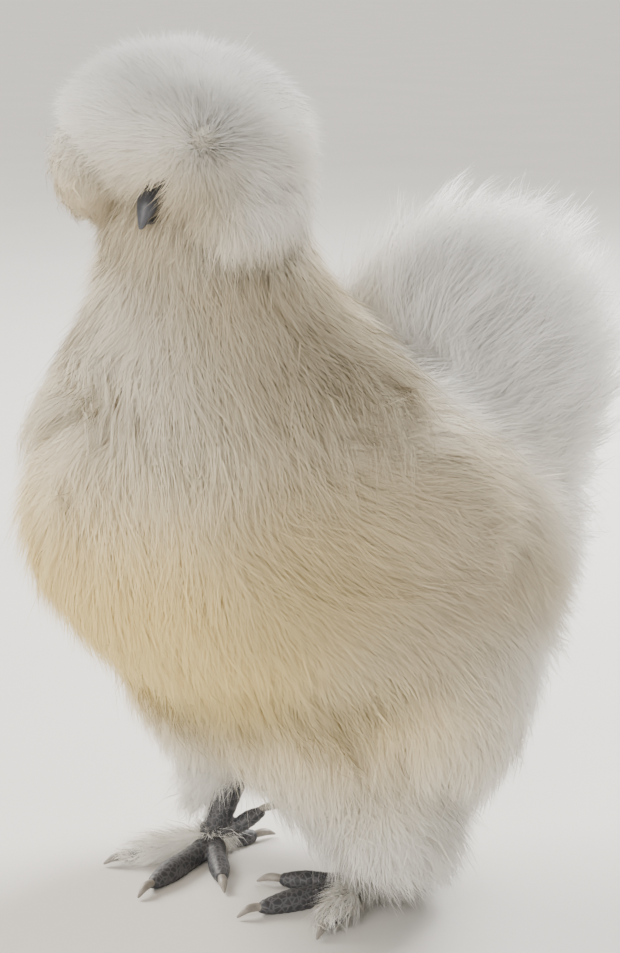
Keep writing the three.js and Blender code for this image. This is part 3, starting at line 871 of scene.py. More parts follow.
@dataclass(frozen=True)
class Layer:
    """One layer of a coat: how many feathers it has, their strands, and how far below the coat's top it ends."""

    feathers: int
    strands: int
    width: float
    spread: float
    sink: float = 0.0
    twist: float = 0.55
    bend: float = 1.8
    shortest: float = 0.0
    round: tuple[float, float, float, float] | None = None


@dataclass
class Strands:
    """Ribbons in the making, with what their tint, shading and bake map need."""

    ribbons: Array
    normals: Array
    along: Array
    roots: Array
    tone: Array

    @staticmethod
    def joined(parts: list[Strands]) -> Strands:
        """Several lots of strands as one."""
        names = ("ribbons", "normals", "along", "roots", "tone")
        return Strands(*(np.concatenate([getattr(part, name) for part in parts]) for name in names))

    def chosen(self, index: Array) -> Strands:
        """Some of the strands."""
        return Strands(self.ribbons[index], self.normals[index], self.along[index], self.roots[index], self.tone[index])


@dataclass
class Coat:
    """Plumage over a form: feathers, each a spray of strands that fan out from a shaft rooted in the skin."""

    name: str
    form: Form
    lie: Lie
    layers: tuple[Layer, ...]
    length: float
    depth: float
    over: tuple[str, ...] = ()
    rise: float = 0.75
    stray: float = 1.5
    curl: float = 0.0
    droop: float = 0.0
    hidden: float = 13.0
    swirl: float = 0.2
    crease: float = 24.0
    bare: float = 0.0
    swells: tuple[tuple[float, float, float, float, float], ...] = ()
    seed: int = 1
    steps: int = 7
    rings: int = 3

    def shafts(
        self, layer: Layer, others: dict[str, Form], keep: Clearing, rng: np.random.Generator
    ) -> tuple[Array, Array, Array]:
        """The feathers' shafts, from root to tip.

        Each tip lies at a seat on the form, and its shaft is traced back over the form against the lie, sunk by
        root + (tip - root) * share^rise. The lie is turned by a slow wave over the body plus a random angle. Where
        another form is near, the outer part is moved out, so that the crease between the two fills up and this
        coat drapes over the forms that it lies on.

        Args:
            layer: how many feathers there are and how low they lie.
            others: the other forms by name.
            keep: what has to stay bare.
            rng: where the lengths and heights are drawn from.

        Returns:
            Points, outward directions and where each root sits on the form, as a share of its girth and length.
        """
        phi, theta = self.form.seats(layer.feathers, rng)
        spot = self.form.surface(phi, theta)
        shown = (phi > self.bare) & (phi < np.pi - self.bare / 2)
        for other in others.values():
            shown &= other.depth(spot)[0] < self.hidden
        length = self.length * (0.75 + 0.5 * rng.random(len(phi)))
        if self.lie.source is not None:
            length = np.minimum(length, 0.9 * np.linalg.norm(spot - np.array(self.lie.source), axis=1))
            shown &= length > layer.shortest
        if layer.round is not None:
            shown &= np.linalg.norm(spot - np.array(layer.round[:3]), axis=1) < layer.round[3]
        phi, theta, spot, length = phi[shown], theta[shown], spot[shown], length[shown]
        slow = np.sin(spot @ np.array([0.09, 0.05, 0.07])) + np.sin(spot @ np.array([-0.06, 0.11, 0.13]) + 1.0)
        turn = (self.swirl * (0.6 * slow + rng.normal(0, 1, len(phi))))[:, None]
        trace = [(phi, theta)]
        for _ in range(self.steps - 1):
            p, t = trace[-1]
            up = self.form.normal(p, t)
            back = -self.lie.way(self.form.surface(p, t))
            back = back * np.cos(turn) + np.cross(up, back) * np.sin(turn)
            flat = np.sqrt(np.maximum(1 - dot(back, up) ** 2, 0.0))
            trace.append(self.form.step(p, t, back, np.maximum(flat, 0.35) * length / (self.steps - 1)))
        phis, thetas = (np.stack(values[::-1], axis=1) for values in zip(*trace))
        out = self.form.normal(phis, thetas)
        share = np.linspace(0, 1, self.steps)[None, :]
        tip = self.stray * (rng.random((len(phi), 1)) * 2 - 1.1) - layer.sink
        for *middle, reach, height in self.swells:
            tip[:, 0] += height * np.exp(-(np.linalg.norm(spot - np.array(middle), axis=1) / reach) ** 2)
        root = -self.depth - 1.0
        lift = root + (tip - root) * share**self.rise
        points = self.form.surface(phis, thetas) + out * lift[..., None]
        points = self.draped(points, out, share, tip, others)
        clear = keep.spares(points)
        roots = np.stack([thetas[:, 0] / (2 * np.pi) % 1.0, phis[:, 0] / np.pi], axis=1)
        return points[clear], out[clear], roots[clear]

    def draped(self, points: Array, out: Array, share: Array, tip: Array, others: dict[str, Form]) -> Array:
        """Moves shafts out where another form is near: by crease / 4 * (1 + depth / crease)^2 outside it.

        Inside it the same height falls off again to nothing, on top of the way out to the surface. A coat that
        lies below the other form moves only a quarter as far.

        Args:
            points: the shafts.
            out: their outward directions.
            share: how far along its shaft each point is.
            tip: how far each shaft's tip stands out.
            others: the other forms by name.

        Returns:
            The moved shafts; inside a form that this coat lies on, they come out to its surface.
        """
        weight = smooth_step(share, 0.1, 0.7)
        for name, other in others.items():
            depth, way = other.depth(points.reshape(-1, 3))
            depth, way = depth.reshape(points.shape[:2]), way.reshape(points.shape)
            push = self.crease / 4 * np.clip(1 - np.abs(depth) / self.crease, 0, 1) ** 2
            if name in self.over:
                push += np.clip(depth + np.minimum(tip, 0.0), 0, 30)
            else:
                push /= 4
            points = points + unit(out + way) * (push * weight)[..., None]
        return points

    def strands_of(self, layer: Layer, points: Array, out: Array, roots: Array, rng: np.random.Generator) -> Strands:
        """Strands that leave each shaft and fan out to its sides.

        A strand starts at a share of the shaft, follows it with a sideways offset that grows as u^0.8 along it,
        sways as a sine, hooks and curls as u^2, and ends before or a little past the shaft's tip. Its ribbon thins
        from root to tip by 1 - 0.7 u^1.5. Its shading direction is the coat's, turned a part of the way to its own,
        as light scatters between real barbs. What stands out past the solids' width is drawn in by a share.

        Args:
            layer: the number and size of the strands.
            points: the shafts.
            out: the outward directions along them.
            roots: where the shafts are rooted.
            rng: where the offsets are drawn from.

        Returns:
            The strands.
        """
        # The part of its shaft that each strand follows, and the shaft's place and directions there.
        feathers = np.repeat(np.arange(len(points)), layer.strands)
        count = len(feathers)
        u = np.linspace(0, 1, self.rings)[None, :]
        start = rng.random((count, 1)) ** 1.3 * 0.5
        end = 1.0 - 0.3 * rng.random((count, 1)) ** 1.8
        at = (start + (end - start) * u) * (self.steps - 1)
        k = np.minimum(at.astype(int), self.steps - 2)
        part = (at - k)[..., None]
        own = feathers[:, None]
        first, second = points[own, k], points[own, k + 1]
        middle = first * (1 - part) + second * part
        up = unit(out[own, k] * (1 - part) + out[own, k + 1] * part)
        ahead = unit(second - first)
        across = unit(np.cross(ahead, up))
        # How far it stands to the side and above, how it sways, how far it runs on and how it hooks.
        aside = np.clip(rng.normal(0, 0.5, (count, 1)), -1.2, 1.2) * layer.spread
        above = np.clip(rng.normal(0, 0.2, (count, 1)), -0.4, 0.4) * layer.spread
        loose = rng.random((count, 1)) < 0.06
        freedom = np.where(loose, 0.7, 0.3)[:, None, :]
        sway = np.clip(rng.normal(0, 1.0, (count, 2, 1)), -1.8, 1.8) * self.stray * freedom
        phase = rng.random((count, 1)) * 2 * np.pi
        wave = np.sin(3.4 * u + phase) - np.sin(phase)
        fan = u**0.8
        extra = np.where(loose, 1.6, 0.5) * rng.random((count, 1)) * self.stray
        hook = np.clip(rng.normal(0, 1, (count, 1)), -2, 2) * layer.bend * u**2
        middle = middle + across * (aside * (0.25 + fan) + sway[:, 0] * wave + hook)[..., None]
        middle = middle + up * (above * fan + sway[:, 1] * wave + self.curl * u**2)[..., None]
        middle = middle + ahead * (extra * u**2)[..., None]
        middle[..., 2] -= self.droop * u**2
        # The ribbon: both edges beside its middle line, ending in one point, above the floor and drawn in.
        run = unit(np.gradient(middle, axis=1))
        twist = rng.normal(0, layer.twist, (count, 1))[..., None]
        facing = up * np.cos(twist) + across * np.sin(twist)
        edge = unit(np.cross(run, facing))
        half = layer.width / 2 * (0.7 + 0.6 * rng.random((count, 1))) * (1 - 0.7 * u**1.5)
        ribbons = np.stack([middle - edge * half[..., None], middle + edge * half[..., None]], axis=2)
        ribbons[:, -1] = middle[:, -1:, :]
        ribbons[..., 2] = np.maximum(ribbons[..., 2], LOWEST_FEATHER)
        past = ribbons[..., 0] - MIDDLE_X
        ribbons[..., 0] -= DRAWN_IN * np.sign(past) * np.maximum(np.abs(past) - HALF_WIDTH, 0.0)
        shade = unit(up + 0.4 * facing)
        normals = np.repeat(shade[:, :, None, :], 2, axis=2)
        # Tone sets how far a corner is out of the painted shade between strands: it grows towards the tip, and is lower
        # for some strands at random and for the lower layers.
        tone = np.clip(start + (end - start) * u - 0.25 * rng.random((count, 1)) - 0.05 * layer.sink, 0, 1)
        return Strands(ribbons, normals, np.repeat(u, count, axis=0), roots[feathers], tone)

    def build(self, maker: Maker, forms: dict[str, Form], keep: Clearing, patch: Patch) -> list[bpy.types.Object]:
        """The coat as one or more meshes, each under the limit of triangles.

        Args:
            maker: makes the meshes.
            forms: all forms by name.
            keep: what stays bare.
            patch: the coat's place on the skin's unwrap.

        Returns:
            The meshes, with their bake map and tint.
        """
        rng = np.random.default_rng(self.seed)
        others = {name: form for name, form in forms.items() if name != self.name}
        parts = []
        for layer in self.layers:
            points, out, roots = self.shafts(layer, others, keep, rng)
            parts.append(self.strands_of(layer, points, out, roots, rng))
        strands = Strands.joined(parts)
        pieces = int(np.ceil(len(strands.ribbons) * (2 * self.rings - 3) / MOST_TRIANGLES))
        order = np.argsort(strands.ribbons[:, 0, 0, 1], kind="stable")
        made = []
        for number, chosen in enumerate(np.array_split(order, pieces)):
            name = f"{self.name}_plumes" + (f"_{number + 1}" if pieces > 1 else "")
            made.append(self.piece(maker, name, strands.chosen(chosen), patch))
        LOG.info("%s: %d strands", self.name, len(strands.ribbons))
        return made

    def piece(self, maker: Maker, name: str, strands: Strands, patch: Patch) -> bpy.types.Object:
        """Some of the strands as one mesh: each a strip of four-cornered faces that ends in a triangle.

        Args:
            maker: makes the mesh.
            name: its name.
            strands: what it is made of.
            patch: the coat's place on the skin's unwrap.

        Returns:
            The object.
        """
        count = len(strands.ribbons)
        per = 2 * self.rings - 1
        corners = strands.ribbons.reshape(count, -1, 3)[:, :per]
        base = (np.arange(count) * per)[:, None, None]
        ring = (2 * np.arange(self.rings - 2))[None, :, None]
        quads = (base + ring + np.array([0, 1, 3, 2])).reshape(-1, 4)
        tips = (np.arange(count) * per)[:, None] + np.array([per - 3, per - 2, per - 1])
        loops = np.concatenate([quads.ravel(), tips.ravel()])
        sizes = np.concatenate([np.full(len(quads), 4), np.full(len(tips), 3)])
        piece = maker.mesh(name, Shape(corners.reshape(-1, 3), loops, sizes))
        shade = strands.normals.reshape(count, -1, 3)[:, :per].reshape(-1, 3)
        piece.data.normals_split_custom_set_from_vertices(shade.astype(np.float32))
        maker.paint(piece, plumage_tint(corners, np.repeat(strands.tone, 2, axis=1)[:, :per]).reshape(-1, 3))
        side = np.tile([0.0, 1.0], self.rings)[:per]
        along = np.repeat(strands.along, 2, axis=1)[:, :per]
        local = np.stack([np.broadcast_to(side, (count, per)), along], axis=-1)
        bake = patch.place(strands.roots)[:, None, :] + patch.size * (local - 0.5)
        layer = piece.data.uv_layers.new(name="OFBake")
        layer.uv.foreach_set("vector", bake.reshape(-1, 2)[loops].astype(np.float32).ravel())
        return piece


@dataclass(frozen=True)
class Patch:
    """A coat's rectangle on the unwrap of the skin, where u runs round the form and v along it."""

    corner: tuple[float, float]
    extent: tuple[float, float]
    size: float = 0.003

    def place(self, roots: Array) -> Array:
        """Where roots, as shares of the form's girth and length, lie on the unwrap."""
        return np.array(self.corner) + (0.02 + 0.96 * roots) * np.array(self.extent)


@dataclass(frozen=True)
class Clearing:
    """The room round the beak that no feather enters."""

    start: tuple[float, float, float]
    end: tuple[float, float, float]
    radius: float

    def spares(self, points: Array) -> Array:
        """Which shafts stay out of the room, that is, further than its radius from its middle line.

        Args:
            points: the shafts.

        Returns:
            True for each that does.
        """
        a, b = np.array(self.start), np.array(self.end)
        along = np.clip(dot(points - a, b - a) / dot(b - a, b - a), 0, 1)
        nearest = a + along[..., None] * (b - a)
        return np.all(np.linalg.norm(points - nearest, axis=-1) > self.radius, axis=1)


@dataclass(frozen=True)
class Plumage:
    """The coats of the bird, on forms that reach out to their tips, as the solids do.

    Paths are in the figure's frame, or on the head for crest, beard and muff. Muff and wing are the left ones.
    """

    belly: Sizes = Sizes(((2, -26, 104), (14, -6, 66), (25, 14, 14)), (38, 33, 22), (34, 34, 24), 0.5)
    crest: Sizes = Sizes(((-1, 0, 49), (-2, 0, 22), (-4, 0, -10)), (40, 49, 43), (39, 46, 42), 0.52)
    beard: Sizes = Sizes(((8, 0, -1), (8, 0, -17), (5, 0, -33)), (18, 23, 18), (15, 20, 15), 0.65)
    muff: Sizes = Sizes(((-3, 22, 22), (1, 27, 0), (0, 20, -25)), (20, 23, 19), (30, 33, 26), 0.65)
    neck: Sizes = Sizes(
        ((0, -50, 280), (0, -42, 244), (0, -42, 200), (0, -40, 150)), (28, 38, 53, 70), (30, 39, 55, 68), 0.5
    )
    torso: Sizes = Sizes(
        ((0, -110, 166), (0, -62, 152), (0, -4, 143), (0, 56, 127), (0, 127, 108)),
        (55, 78, 80, 78, 60),
        (54, 72, 76, 69, 50),
        0.58,
    )
    wing: Sizes = Sizes(
        ((45, -58, 182), (57, -22, 171), (60, 14, 155), (61, 50, 137)), (16, 22, 22, 14), (24, 32, 28, 15), 0.5
    )
    tail: Sizes = Sizes(((0, 16, 182), (0, 88, 186), (0, 155, 171)), (40, 43, 32), (58, 73, 58), 0.6)
    thigh_left: Sizes = Sizes(
        ((40, 18, 124), (42, 31, 84), (38, 23, 50), (35, 12, 20)), (28, 37, 35, 25), (36, 54, 43, 30), 0.5
    )
    thigh_right: Sizes = Sizes(
        ((-40, -2, 124), (-40, -6, 84), (-37, -8, 52), (-35, -10, 26)), (28, 37, 32, 20), (36, 46, 36, 23), 0.5
    )

    def forms(self) -> dict[str, Form]:
        """The forms by name, in the order that the skin is joined and coats are draped in.

        Returns:
            A form for each coat above the shanks.
        """
        return {
            "belly": self.belly.form(),
            "crest": self.crest.on_head(),
            "beard": self.beard.on_head(),
            **{f"muff_{side.label}": self.muff.on_head(side.value) for side in Side},
            "neck": self.neck.form(),
            "torso": self.torso.form(),
            **{f"wing_{side.label}": self.wing.form(side.value) for side in Side},
            "tail": self.tail.form(),
            "thigh_left": self.thigh_left.form(),
            "thigh_right": self.thigh_right.form(),
        }

    def coats(self, feet: list[Foot]) -> list[Coat]:
        """The coats by form, with the lie, number and size of their feathers.

        Args:
            feet: the feet, whose outer sides are feathered.

        Returns:
            The coats.
        """
        forms = self.forms()
        whorl, tuft = tuple(in_head(*WHORL)), tuple(in_head(*TUFT))
        folds = tuple((side.value * x, y, z, 12, -5) for side in Side for x, y, z in WING_EDGE)
        chin = tuple(in_head(6, 0, 14))
        made = [
            Coat(
                "crest", forms["crest"], CrestLie(whorl),
                (*layered(2500, 29, 0.23, 4.4, 2.5), Layer(2600, 14, 0.22, 5.0, -2.5, round=(*tuft, TUFT_REACH))),
                30, 16, ("muff_left", "muff_right", "beard", "neck"), rise=1.25, stray=2.4, crease=12,
                swells=((-20, -95, 276, 34, -6), (42, -63, 254, 18, 4)), seed=11,
            ),
            Coat(
                "beard", forms["beard"], Lie(chin, (0, 0, -1)), layered(260, 28, 0.22, 3.4), 24, 7, ("neck",),
                stray=2.0, crease=8, seed=31,
            ),
            Coat(
                "neck", forms["neck"], Lie(pull=(0, 0.02, -1)), layered(2100, 28, 0.23, 5.6), 38, 10,
                ("torso", "wing_left", "wing_right"), stray=2.4, hidden=30.0, crease=38,
                swells=((37, -54, 236, 20, -6), (-20, -112, 196, 32, -15), (20, -112, 200, 26, -9)), seed=41,
            ),
            Coat(
                "torso", forms["torso"], BodyLie(), layered(5400, 24, 0.25, 6.0), 42, 16,
                ("thigh_left", "thigh_right", "belly"), rise=0.9, stray=3.0, hidden=18.0, crease=40,
                swells=((-20, -112, 196, 32, -9), (-30, -88, 88, 45, -8), (42, 96, 72, 28, -5), *folds), seed=71,
            ),
            Coat(
                "belly", forms["belly"], Lie(pull=(0.1, 0.1, -1)), layered(1000, 25, 0.24, 5.5), 40, 14,
                ("thigh_left", "thigh_right"), stray=3.5, hidden=24.0, crease=34, seed=75,
            ),
            Coat(
                "tail", forms["tail"], Lie((0, 18, 150), (0, 0, 0.1)),
                (*layered(1500, 30, 0.28, 8.0, 3.5), Layer(330, 44, 0.27, 6.5, -6.0, 0.55, 2.4)), 70, 23,
                ("torso",), rise=0.9, stray=4.5, curl=1.0, droop=3.0, swirl=0.28, hidden=20.0, seed=61, rings=4,
            ),
        ]
        for side in Side:
            sign, label = side.value, side.label
            cheek = tuple(in_head(6, 8 * sign, 20))
            made += [
                Coat(
                    f"muff_{label}", forms[f"muff_{label}"], Lie(cheek, (0, 0, -1)),
                    layered(700, 28, 0.22, 3.8, 0.5), 26, 8, ("beard", "neck"), rise=1.3, stray=2.4, crease=8,
                    swells=((42, -63, 254, 18, 5), (-20, -95, 276, 34, -6), (-14, -80, 255, 24, -6)), seed=21 + sign,
                ),
                Coat(
                    f"wing_{label}", forms[f"wing_{label}"], Lie(pull=(0, 1, -0.42)),
                    layered(820, 28, 0.24, 4.8, -1.0), 44, 6, ("torso", f"thigh_{label}"), stray=2.4, crease=16,
                    bare=0.9, seed=51 + sign,
                ),
                Coat(
                    f"thigh_{label}", forms[f"thigh_{label}"], Lie(pull=(0.12 * sign, 0.25, -1)),
                    layered(1100, 26, 0.24, 5.0), 36, 10, (f"shank_{label}",), rise=0.9, stray=3.0,
                    swells=((46, 78, 48, 28, -12),), seed=81 + sign,
                ),
            ]
        for foot in feet:
            sign, label = foot.side.value, foot.side.label
            hub = (foot.at[0], foot.at[1], 14.0)
            made += [
                Coat(
                    f"shank_{label}", foot.boot(), Lie(foot.hock(), (0.35 * sign, 0.2, -0.35)),
                    layered(660 if sign > 0 else 380, 26, 0.24, 5.0), 34, 12, rise=0.9, stray=4.0, curl=1.5, swirl=0.3,
                    seed=91 + sign,
                ),
                Coat(
                    f"toe_{label}", foot.toe(4).grown(5), Lie(hub, (0.25 * sign, 0, -0.1)),
                    layered(260, 22, 0.24, 3.6), 24, 8, stray=2.0, hidden=30, seed=101 + sign,
                ),
            ]
        return made


def layered(feathers: int, strands: int, width: float, spread: float, sink: float = 0.0) -> tuple[Layer, ...]:
    """A coat's two layers: broad soft down below, and fine strands on top.

    Args:
        feathers: how many feathers the top has; the down has six for every ten.
        strands: how many strands each of the top's has; the down's have seven.
        width: how broad a strand of the top is at its root.
        spread: how far a feather's strands fan out; the down's a tenth further.
        sink: how far below the form's surface the top layer ends.

    Returns:
        The two layers.
    """
    return (
        Layer(int(feathers * 0.6), 7, 0.9, spread * 1.1, sink + 5.0, 0.3, 1.0, 17.0),
        Layer(feathers, strands, width, spread, sink),
    )


@dataclass
class Foot:
    """One leg below its feathers: shank, five toes and their claws."""

    side: Side
    at: tuple[float, float]
    heading: float
    toes: dict[int, tuple[float, float, float, float]] = field(
        default_factory=lambda: {
            1: (152, 19, 3.3, 0),
            2: (40, 33, 3.6, 0),
            3: (2, 44, 4, 0),
            4: (-38, 36, 3.7, 0),
            5: (122, 20, 2.9, 15),
        }
    )
    boot_path: tuple[tuple[float, float, float], ...] = ((39, 22, 60), (46, 12, 34), (52, 3, 6))
    boot_wide: tuple[float, ...] = (20, 24, 28)
    boot_high: tuple[float, ...] = (22, 26, 29)

    def on_foot(self, turn: float, forward: float, up: float) -> list[float]:
        """A place on the foot, reached from the hub of its toes.

        Args:
            turn: degrees from straight ahead to the inside.
            forward: how far out.
            up: how high.

        Returns:
            x, y and z in the figure's frame.
        """
        angle = np.radians(self.heading - self.side.value * turn)
        return [self.at[0] + np.sin(angle) * forward, self.at[1] - np.cos(angle) * forward, up]

    def toe(self, number: int) -> Form:
        """One toe, from the hub out.

        Args:
            number: the toe's number.

        Returns:
            Its form.
        """
        turn, reach, thick, rise = self.toes[number]
        path = [
            self.on_foot(turn, -5, 4.6 + rise * 0.2),
            self.on_foot(turn, reach * 0.35, 3.3 + rise * 0.4),
            self.on_foot(turn, reach * 0.7, thick * 0.8 + rise * 0.75),
            self.on_foot(turn, reach, thick * 0.75 + rise),
        ]
        sizes = [6, thick, thick * 1.05, thick * 0.75]
        return Form(path, sizes, sizes, np.array([0.0, 0.0, 1.0]), 0.4)

    def claw(self, number: int) -> Form:
        """One claw, curving down to its point.

        Args:
            number: the toe's number.

        Returns:
            Its form.
        """
        turn, reach, thick, rise = self.toes[number]
        path = [
            self.on_foot(turn, reach - 2, thick * 0.85 + rise),
            self.on_foot(turn, reach + CLAW_LENGTH * 0.45, thick * 0.9 + rise * 1.1),
            self.on_foot(turn, reach + CLAW_LENGTH, 1.1 + rise * 1.15),
        ]
        return Form(path, [1.7, 1.5, 0.6], [1.9, 1.7, 0.6], np.array([0.0, 0.0, 1.0]), 0.4)

    def shank(self) -> Form:
        """The shank, from the hock down to the hub of the toes.

        Returns:
            Its form.
        """
        x, y = self.at
        path = [
            [x * 1.06, y + SHANK_LEAN, HOCK_HEIGHT],
            [x * 1.04, y + SHANK_LEAN * 0.72, HOCK_HEIGHT * 0.75],
            [x * 1.01, y + SHANK_LEAN * 0.3, HOCK_HEIGHT * 0.42],
            [x, y, 8],
        ]
        return Form(path, [6.5, 5.6, 5, 5.6], [7, 6, 5.4, 5.8], blunt=0.3)

    def hock(self) -> tuple[float, float, float]:
        """The place that the leg's feathers run away from."""
        x, y = self.at
        return (x * 0.85, y + SHANK_LEAN * 0.4, HOCK_HEIGHT + 2)

    def boot(self) -> Form:
        """The feathers on the outer and rear side of the shank, out to their tips, widest just above the floor."""
        return Form(self.boot_path, self.boot_wide, self.boot_high, blunt=0.5)

    def scuted(self, form: Form, rings: int, pitch: float, stand: float) -> Shape:
        """A form with broad scutes across it: rings that swell as the root of a sine and meet in narrow grooves.

        Args:
            form: the toe or shank.
            rings: rings of points along it.
            pitch: the length of a scute.
            stand: how far it stands out.

        Returns:
            The closed shape.
        """
        phi = np.pi * np.arange(1, rings + 1) / (rings + 1)
        length = np.linalg.norm(np.diff(form.centre(np.linspace(0, 1, 30)), axis=0), axis=1).sum()
        wave = np.abs(np.sin(np.pi * (1 - np.cos(phi)) / 2 * length / pitch))
        sides = 28
        return form_shape(form, rings, sides, np.broadcast_to((stand * wave**0.5)[:, None], (rings, sides)))

    def skin(self) -> list[Shape]:
        """The shank and the toes, with their scutes."""
        toes = [self.scuted(self.toe(number), 70, 3.4, 0.45) for number in self.toes]
        return [self.scuted(self.shank(), 90, 4.2, 0.4), *toes]

    def build_claws(self, maker: Maker, horn: bpy.types.Material) -> None:
        """The claws as separate pieces.

        Args:
            maker: makes the meshes.
            horn: their material.
        """
        for number in self.toes:
            name = f"claw_{self.side.label}_{number}"
            shape = form_shape(self.claw(number), 18, 14)
            shape.points[:, 2] = np.maximum(shape.points[:, 2], 0.0)
            maker.settle(maker.mesh(f"{name}_horn", shape), [horn], [name])


@dataclass
class Head:
    """The bare parts of the head: face, lids, eyes, beak and comb.

    The comb's lobes are balls, each given forward, left and up with its radius. The opening is the room that the crest
    and the muffs leave before the face.
    """

    comb_lobes: tuple[tuple[float, float, float, float], ...] = (
        (17, 0, 7, 4.2),
        (12.5, 3.6, 10.5, 4.4),
        (12.5, -3.6, 10.5, 4.4),
        (8, 0, 14, 4.6),
    )

    skull: Sizes = Sizes(((-20, 0, 1), (-2, 0, 1), (17, 0, -1)), (13, 14, 8.5), (13, 16, 9.5), 0.75)
    opening: Sizes = Sizes(((-6, 0, 4), (18, 0, 2), (42, 0, 0)), (16, 18, 19), (18, 18.5, 17), 0.3)
    upper_beak: Sizes = Sizes(
        ((11, 0, 1), (19, 0, 2), (27, 0, 0), (32, 0, -7)), (6.5, 6, 4.2, 1.4), (6, 5, 3.6, 1.2), 0.5
    )
    lower_beak: Sizes = Sizes(((11, 0, -6), (19, 0, -5.5), (27, 0, -6)), (5.5, 4.6, 2), (3.2, 2.8, 1.6), 0.5)

    def beak_room(self) -> Clearing:
        """The room round the beak that no feather enters."""
        return Clearing(tuple(in_head(20, -1, 0)), tuple(in_head(38, 3, 8)), 5.6)

    def ball(self, forward: float, left: float, up: float, radius: float, rings: int = 14) -> Shape:
        """A sphere round a place on the head, with its poles at its top and bottom."""
        path = [in_head(forward, left, up - radius), in_head(forward, left, up + radius)]
        return form_shape(Form(path, [radius, radius], [radius, radius], HEAD_LEFT, 1.0), rings, 2 * rings)

    def lids(self, side: Side) -> Shape:
        """The lids round one eye: a bead with a finely creased edge carried round an almond opening.

        Args:
            side: which eye.

        Returns:
            The closed ring, its section a circle of 1.2 by 1.5 mm and its path an ellipse.
        """
        rows, columns = 64, 14
        around, across = 2 * np.pi * np.arange(rows) / rows, 2 * np.pi * np.arange(columns) / columns
        a, b = np.meshgrid(around, across, indexing="ij")
        crease = 1 + 0.06 * np.sin(17 * a) * np.cos(b)
        reach = EYE_RADIUS + 0.6 + 1.2 * crease * np.cos(b)
        opening = 0.8 * reach * np.sin(a)
        stand = (12 + 1.5 * crease * np.sin(b)) * side.value
        local = np.stack([stand, -(EYE_FORWARD + reach * np.cos(a)), EYE_UP + opening], axis=-1)
        points = HEAD_AT + local @ HEAD_AXES.T
        i, j = np.meshgrid(np.arange(rows), np.arange(columns), indexing="ij")
        m, n = (i + 1) % rows, (j + 1) % columns
        quads = np.stack([i * columns + j, m * columns + j, m * columns + n, i * columns + n], -1).reshape(-1)
        return Shape(points.reshape(-1, 3), quads, np.full(rows * columns, 4)).facing_out()

    def nostrilled(self, form: Form, rings: int, sides: int) -> Shape:
        """The upper beak with a slit sunk in each side: a dip of a Gaussian round each nostril.

        Args:
            form: the beak.
            rings: rings of points along it.
            sides: points round it.

        Returns:
            The closed shape.
        """
        points = form.surface(*form_grid(rings, sides))
        dip = np.zeros((rings, sides))
        for side in Side:
            away = (points - in_head(19, 4.6 * side.value, 4.0)) @ HEAD_AXES
            dip -= 1.3 * np.exp(-((away[..., 1] / 1.9) ** 2) - (away[..., 2] / 0.8) ** 2 - (away[..., 0] / 2.5) ** 2)
        return form_shape(form, rings, sides, dip)

    def skin(self) -> list[Shape]:
        """The skin of the face, with its lids."""
        return [form_shape(self.skull.on_head(), 60, 72), *(self.lids(side) for side in Side)]

    def build(
        self, maker: Maker, horn: bpy.types.Material, wart: bpy.types.Material, gloss: bpy.types.Material
    ) -> None:
        """The eyes, the beak and the comb.

        Args:
            maker: makes the meshes.
            horn: the beak's material.
            wart: the comb's.
            gloss: the eyes'.
        """
        for side in Side:
            ball = self.ball(EYE_FORWARD, EYE_OUT * side.value, EYE_UP, EYE_RADIUS, 24)
            eye = maker.mesh(f"eyeball_{side.label}", ball)
            maker.settle(eye, [gloss], [f"eye_{side.label}"])
        upper = maker.mesh("upper_beak_horn", self.nostrilled(self.upper_beak.on_head(), 70, 60))
        maker.settle(upper, [horn], ["beak_upper"])
        lower = maker.mesh("lower_beak_horn", form_shape(self.lower_beak.on_head(), 30, 32))
        maker.settle(lower, [horn], ["beak_lower"])
        lobes = Shape.joined([self.ball(*lobe) for lobe in self.comb_lobes])
        comb = maker.mesh("walnut_comb", maker.remeshed(lobes, 0.5, 3))
        maker.settle(comb, [wart], ["comb"])


@dataclass
class Skin:
    """The bird's one skin: the body under its plumage, the face, the shanks and the toes."""

    body_voxel: float = 3.0
    leg_voxel: float = 0.75

    def build(
        self,
        maker: Maker,
        plumage: Plumage,
        depths: dict[str, float],
        head: Head,
        feet: list[Foot],
        down: bpy.types.Material,
        bare: bpy.types.Material,
    ) -> None:
        """The skin as one mesh, downy where it is feathered and dark where it is bare.

        Args:
            maker: makes the mesh.
            plumage: its forms are what the body is drawn in from.
            depths: how deep each coat is rooted.
            head: gives the face.
            feet: give the legs.
            down: the material under the plumage.
            bare: the material of face and legs.
        """
        forms = plumage.forms()
        inner = [form_shape(form.grown(-depths[name]), 40, 48) for name, form in forms.items()]
        inner.append(head.ball(*WHORL_SKIN))
        opening = form_shape(head.opening.on_head(), 30, 36)
        body = maker.remeshed(Shape.joined(inner), self.body_voxel, 6, opening)
        legs = maker.remeshed(Shape.joined([shape for foot in feet for shape in foot.skin()]), self.leg_voxel, 1)
        legs.points[:, 2] = np.maximum(legs.points[:, 2], 0.0)
        face = Shape.joined(head.skin())
        whole = maker.mesh("skin", Shape.joined([body, legs, face]))
        finish = np.ones(len(whole.data.polygons), np.int32)
        finish[: len(body.sizes)] = 0
        whole.data.polygons.foreach_set("material_index", finish)
        points = np.concatenate([body.points, legs.points, face.points])
        # The skin takes the plumage's tint near the roots' end, painted shade between the strands included.
        maker.paint(whole, plumage_tint(points, np.full(len(points), 0.3)))
        flesh = [*(name for name in forms if name != "belly"), "head"]
        for side in Side:
            flesh += [f"shank_{side.label}", f"foot_{side.label}", f"outer_toe_{side.label}"]
        maker.settle(whole, [down, bare], flesh)


